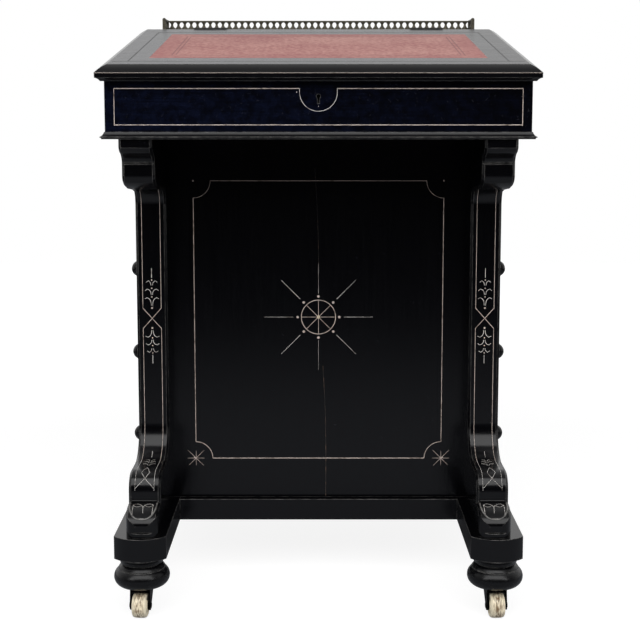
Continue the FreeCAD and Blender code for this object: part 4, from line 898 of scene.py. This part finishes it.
# A wheel in millimetres: its bore, half its width, its side as (radius, depth), and where its tread starts
WHEEL_BORE, WHEEL_HALF = 2.62, 10.0
WHEEL_SIDE = ((6.0, 0.0), (7.2, 0.3), (8.6, 1.6), (11.6, 1.8), (13.2, 0.7), (14.2, 0.8), (15.4, 1.7),
              (16.1, 3.4), (16.4, 6.0), (16.5, WHEEL_HALF))
TREAD_START = 14.8
# The share of dirt in the middle of the tread, and how much less there is at its sides
TREAD_DIRT, TREAD_FADE = 0.95, 1.1


class DAVENPORT_OT_wheels(Operator):
    """Turns the castors' glazed wheels, a barrel with dished sides"""

    bl_idname = "davenport.wheels"
    bl_label = "Castor wheels"

    def execute(self, context):
        sides = context.scene.davenport_sizes.turned_sides
        outer = np.concatenate([[(WHEEL_BORE, 0.0)], smoothed(WHEEL_SIDE, 34)]) - (0.0, WHEEL_HALF)
        profile = np.concatenate([outer, outer[-2::-1] * (1, -1)])
        radius, away = profile[:, 0], np.abs(profile[:, 1]) / WHEEL_HALF
        tread = np.where(radius > TREAD_START, np.maximum(TREAD_DIRT - TREAD_FADE * away ** 2, 0.0), 0.0)
        for castor, degrees in AXLES.items():
            node_name = "castor_wheel_" + castor
            low, high = (np.array(corner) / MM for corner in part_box(node_name))
            turn = math.radians(degrees)
            axle = (math.cos(turn), math.sin(turn), 0.0)
            shells = [lathe(profile, (low + high) / 2, axle, sides, joined=True)]
            piece("glazed_wheel_" + castor, shells, finish("cream_glazed_pottery"), "wheel_" + castor,
                  (node_name,), merge=False, attributes={"tread": np.repeat(tread, sides)})
        return {"FINISHED"}


# The photograph's camera: place in metres, pitch in degrees, sensor and lens in millimetres, and shift
CAMERA_PLACE = (0.0, -1.86, 0.644)
CAMERA_PITCH = 7.03
CAMERA_SENSOR, CAMERA_LENS = 36.0, 72.7
CAMERA_SHIFT = (0.0024, -0.06)
# Lamps: name, place in metres, turn in degrees, size in metres and power in watts
LAMPS = (("soft_box", (0.0, -1.63, 1.96), (40.0, 0.0, 0.0), (3.0, 1.8), 52.0),
         ("strip_light_left", (-1.7, -1.9, 1.3), (72.0, 0.0, -42.0), (0.35, 0.9), 7.0),
         ("strip_light_right", (1.7, -1.9, 1.3), (72.0, 0.0, 42.0), (0.35, 0.9), 7.0))
FLOOR_REACH = 4.0
# The room's brightness to matt surfaces, and to polish that mirrors its front or the backdrop
ROOM_LIGHT = 0.3
ROOM_FRONT, ROOM_BACK = 0.015, 0.85


def placed(name, data, place, turn):
    """A lamp or camera at a place, turned by angles in degrees."""
    made = added(name, data)
    made.location = place
    made.rotation_euler = [math.radians(a) for a in turn]
    return made


class DAVENPORT_OT_stage(Operator):
    """Sets the pale floor, the studio light and the camera"""

    bl_idname = "davenport.stage"
    bl_label = "Stage"

    def execute(self, context):
        scene = context.scene
        scene.view_settings.view_transform = "Standard"
        mesh = bpy.data.meshes.new("studio_floor")
        corners = [(x * FLOOR_REACH, y * FLOOR_REACH, 0.0) for x, y in ((-1, -1), (1, -1), (1, 1), (-1, 1))]
        mesh.from_pydata(corners, [], [(0, 1, 2, 3)])
        mesh.materials.append(self.floor_paint(scene.davenport_colours))
        floor = added("studio_floor", mesh)
        self.light(scene)
        lens = bpy.data.cameras.new("photo_camera")
        lens.sensor_width, lens.lens = CAMERA_SENSOR, CAMERA_LENS
        lens.shift_x, lens.shift_y = CAMERA_SHIFT
        scene.camera = placed("photo_camera", lens, CAMERA_PLACE, (90.0 - CAMERA_PITCH, 0.0, 0.0))
        return {"FINISHED"}

    def floor_paint(self, colours):
        """Matt white paint: the camera sees it near white, and the desk's soft shadow stays on it."""
        material, tree, shader, where = blank("matt_white_floor")
        shown = node(tree, "ShaderNodeLightPath")
        # A painted light pool: the floor that the polish mirrors is bright near the desk and fades towards
        # the dark room
        away = node(tree, "ShaderNodeVectorMath", {0: where}, operation="LENGTH")
        painted_light_pool = node(tree, "ShaderNodeMapRange", {
            "Value": away, "From Min": 0.45, "From Max": 2.6, "To Min": 1.0, "To Max": 0.15},
            interpolation_type="SMOOTHSTEP")
        bounce = node(tree, "ShaderNodeMix", {
            0: painted_light_pool, 6: (0.0, 0.0, 0.0, 1.0), 7: colours.floor_bounce}, data_type="RGBA")
        tone = node(tree, "ShaderNodeMix", {
            0: shown.outputs["Is Camera Ray"], 6: bounce, 7: colours.floor}, data_type="RGBA")
        # Far from the desk the floor runs into the white backdrop
        far = node(tree, "ShaderNodeMapRange", {
            "Value": away, "From Min": 1.0, "From Max": 3.0, "To Min": 0.88})
        white = node(tree, "ShaderNodeMath", {
            0: shown.outputs["Is Camera Ray"], 1: far}, operation="MULTIPLY")
        wire(tree, shader, {"Base Color": tone, "Roughness": 0.9, "Specular IOR Level": 0.1,
                            "Emission Strength": white})
        return material

    def light(self, scene):
        """A white backdrop behind the desk, a dim room in front of it, a soft box and two strip lights."""
        world = bpy.data.worlds.new("studio")
        scene.world = world
        world.use_nodes = True
        tree = world.node_tree
        path = node(tree, "ShaderNodeLightPath")
        around = node(tree, "ShaderNodeTexCoord")
        way = node(tree, "ShaderNodeSeparateXYZ", {"Vector": around.outputs["Generated"]})
        behind = node(tree, "ShaderNodeMapRange", {
            "Value": way.outputs["Y"], "From Min": -0.75, "From Max": 0.5, "To Min": ROOM_FRONT,
            "To Max": ROOM_BACK}, interpolation_type="SMOOTHSTEP")
        room = node(tree, "ShaderNodeMix", {
            0: path.outputs["Is Glossy Ray"], 2: ROOM_LIGHT, 3: behind}, data_type="FLOAT")
        seen = node(tree, "ShaderNodeMath", {
            0: path.outputs["Is Camera Ray"], 1: path.outputs["Is Transmission Ray"]}, operation="MAXIMUM")
        strength = node(tree, "ShaderNodeMix", {0: seen, 2: room, 3: 1.0}, data_type="FLOAT")
        wire(tree, tree.nodes["Background"], {"Strength": strength, "Color": (1.0, 1.0, 1.0, 1.0)})
        for name, place, turn, size, power in LAMPS:
            lamp = bpy.data.lights.new(name, "AREA")
            lamp.shape = "RECTANGLE"
            lamp.size, lamp.size_y = size
            lamp.energy = power
            placed(name, lamp, place, turn)


class DAVENPORT_PT_sidebar(Panel):
    """Lists the desk's operators, sizes and colours"""

    bl_idname = "DAVENPORT_PT_sidebar"
    bl_label = "Davenport Desk"
    bl_space_type = "VIEW_3D"
    bl_region_type = "UI"
    bl_category = "Davenport"

    def draw(self, context):
        for operator in OPERATORS:
            self.layout.operator(operator.bl_idname)
        for group in (context.scene.davenport_sizes, context.scene.davenport_colours):
            column = self.layout.column()
            for name in group.__annotations__:
                column.prop(group, name)


OPERATORS = (DAVENPORT_OT_finishes, DAVENPORT_OT_panel_gilding, DAVENPORT_OT_box_gilding,
             DAVENPORT_OT_leg_gilding, DAVENPORT_OT_lid_lines, DAVENPORT_OT_leather,
             DAVENPORT_OT_gallery, DAVENPORT_OT_wheels, DAVENPORT_OT_stage)
CLASSES = (DavenportSizes, DavenportColours, *OPERATORS, DAVENPORT_PT_sidebar)


def register():
    for cls in CLASSES:
        bpy.utils.register_class(cls)
    bpy.types.Scene.davenport_sizes = PointerProperty(type=DavenportSizes)
    bpy.types.Scene.davenport_colours = PointerProperty(type=DavenportColours)


def unregister():
    del bpy.types.Scene.davenport_colours
    del bpy.types.Scene.davenport_sizes
    for cls in reversed(CLASSES):
        bpy.utils.unregister_class(cls)


def main():
    register()
    bpy.ops.davenport.finishes()
    bpy.ops.davenport.panel_gilding()
    bpy.ops.davenport.box_gilding()
    bpy.ops.davenport.leg_gilding()
    bpy.ops.davenport.lid_lines()
    bpy.ops.davenport.leather()
    bpy.ops.davenport.gallery()
    bpy.ops.davenport.wheels()
    bpy.ops.davenport.stage()


if __name__ == "__main__":
    main()
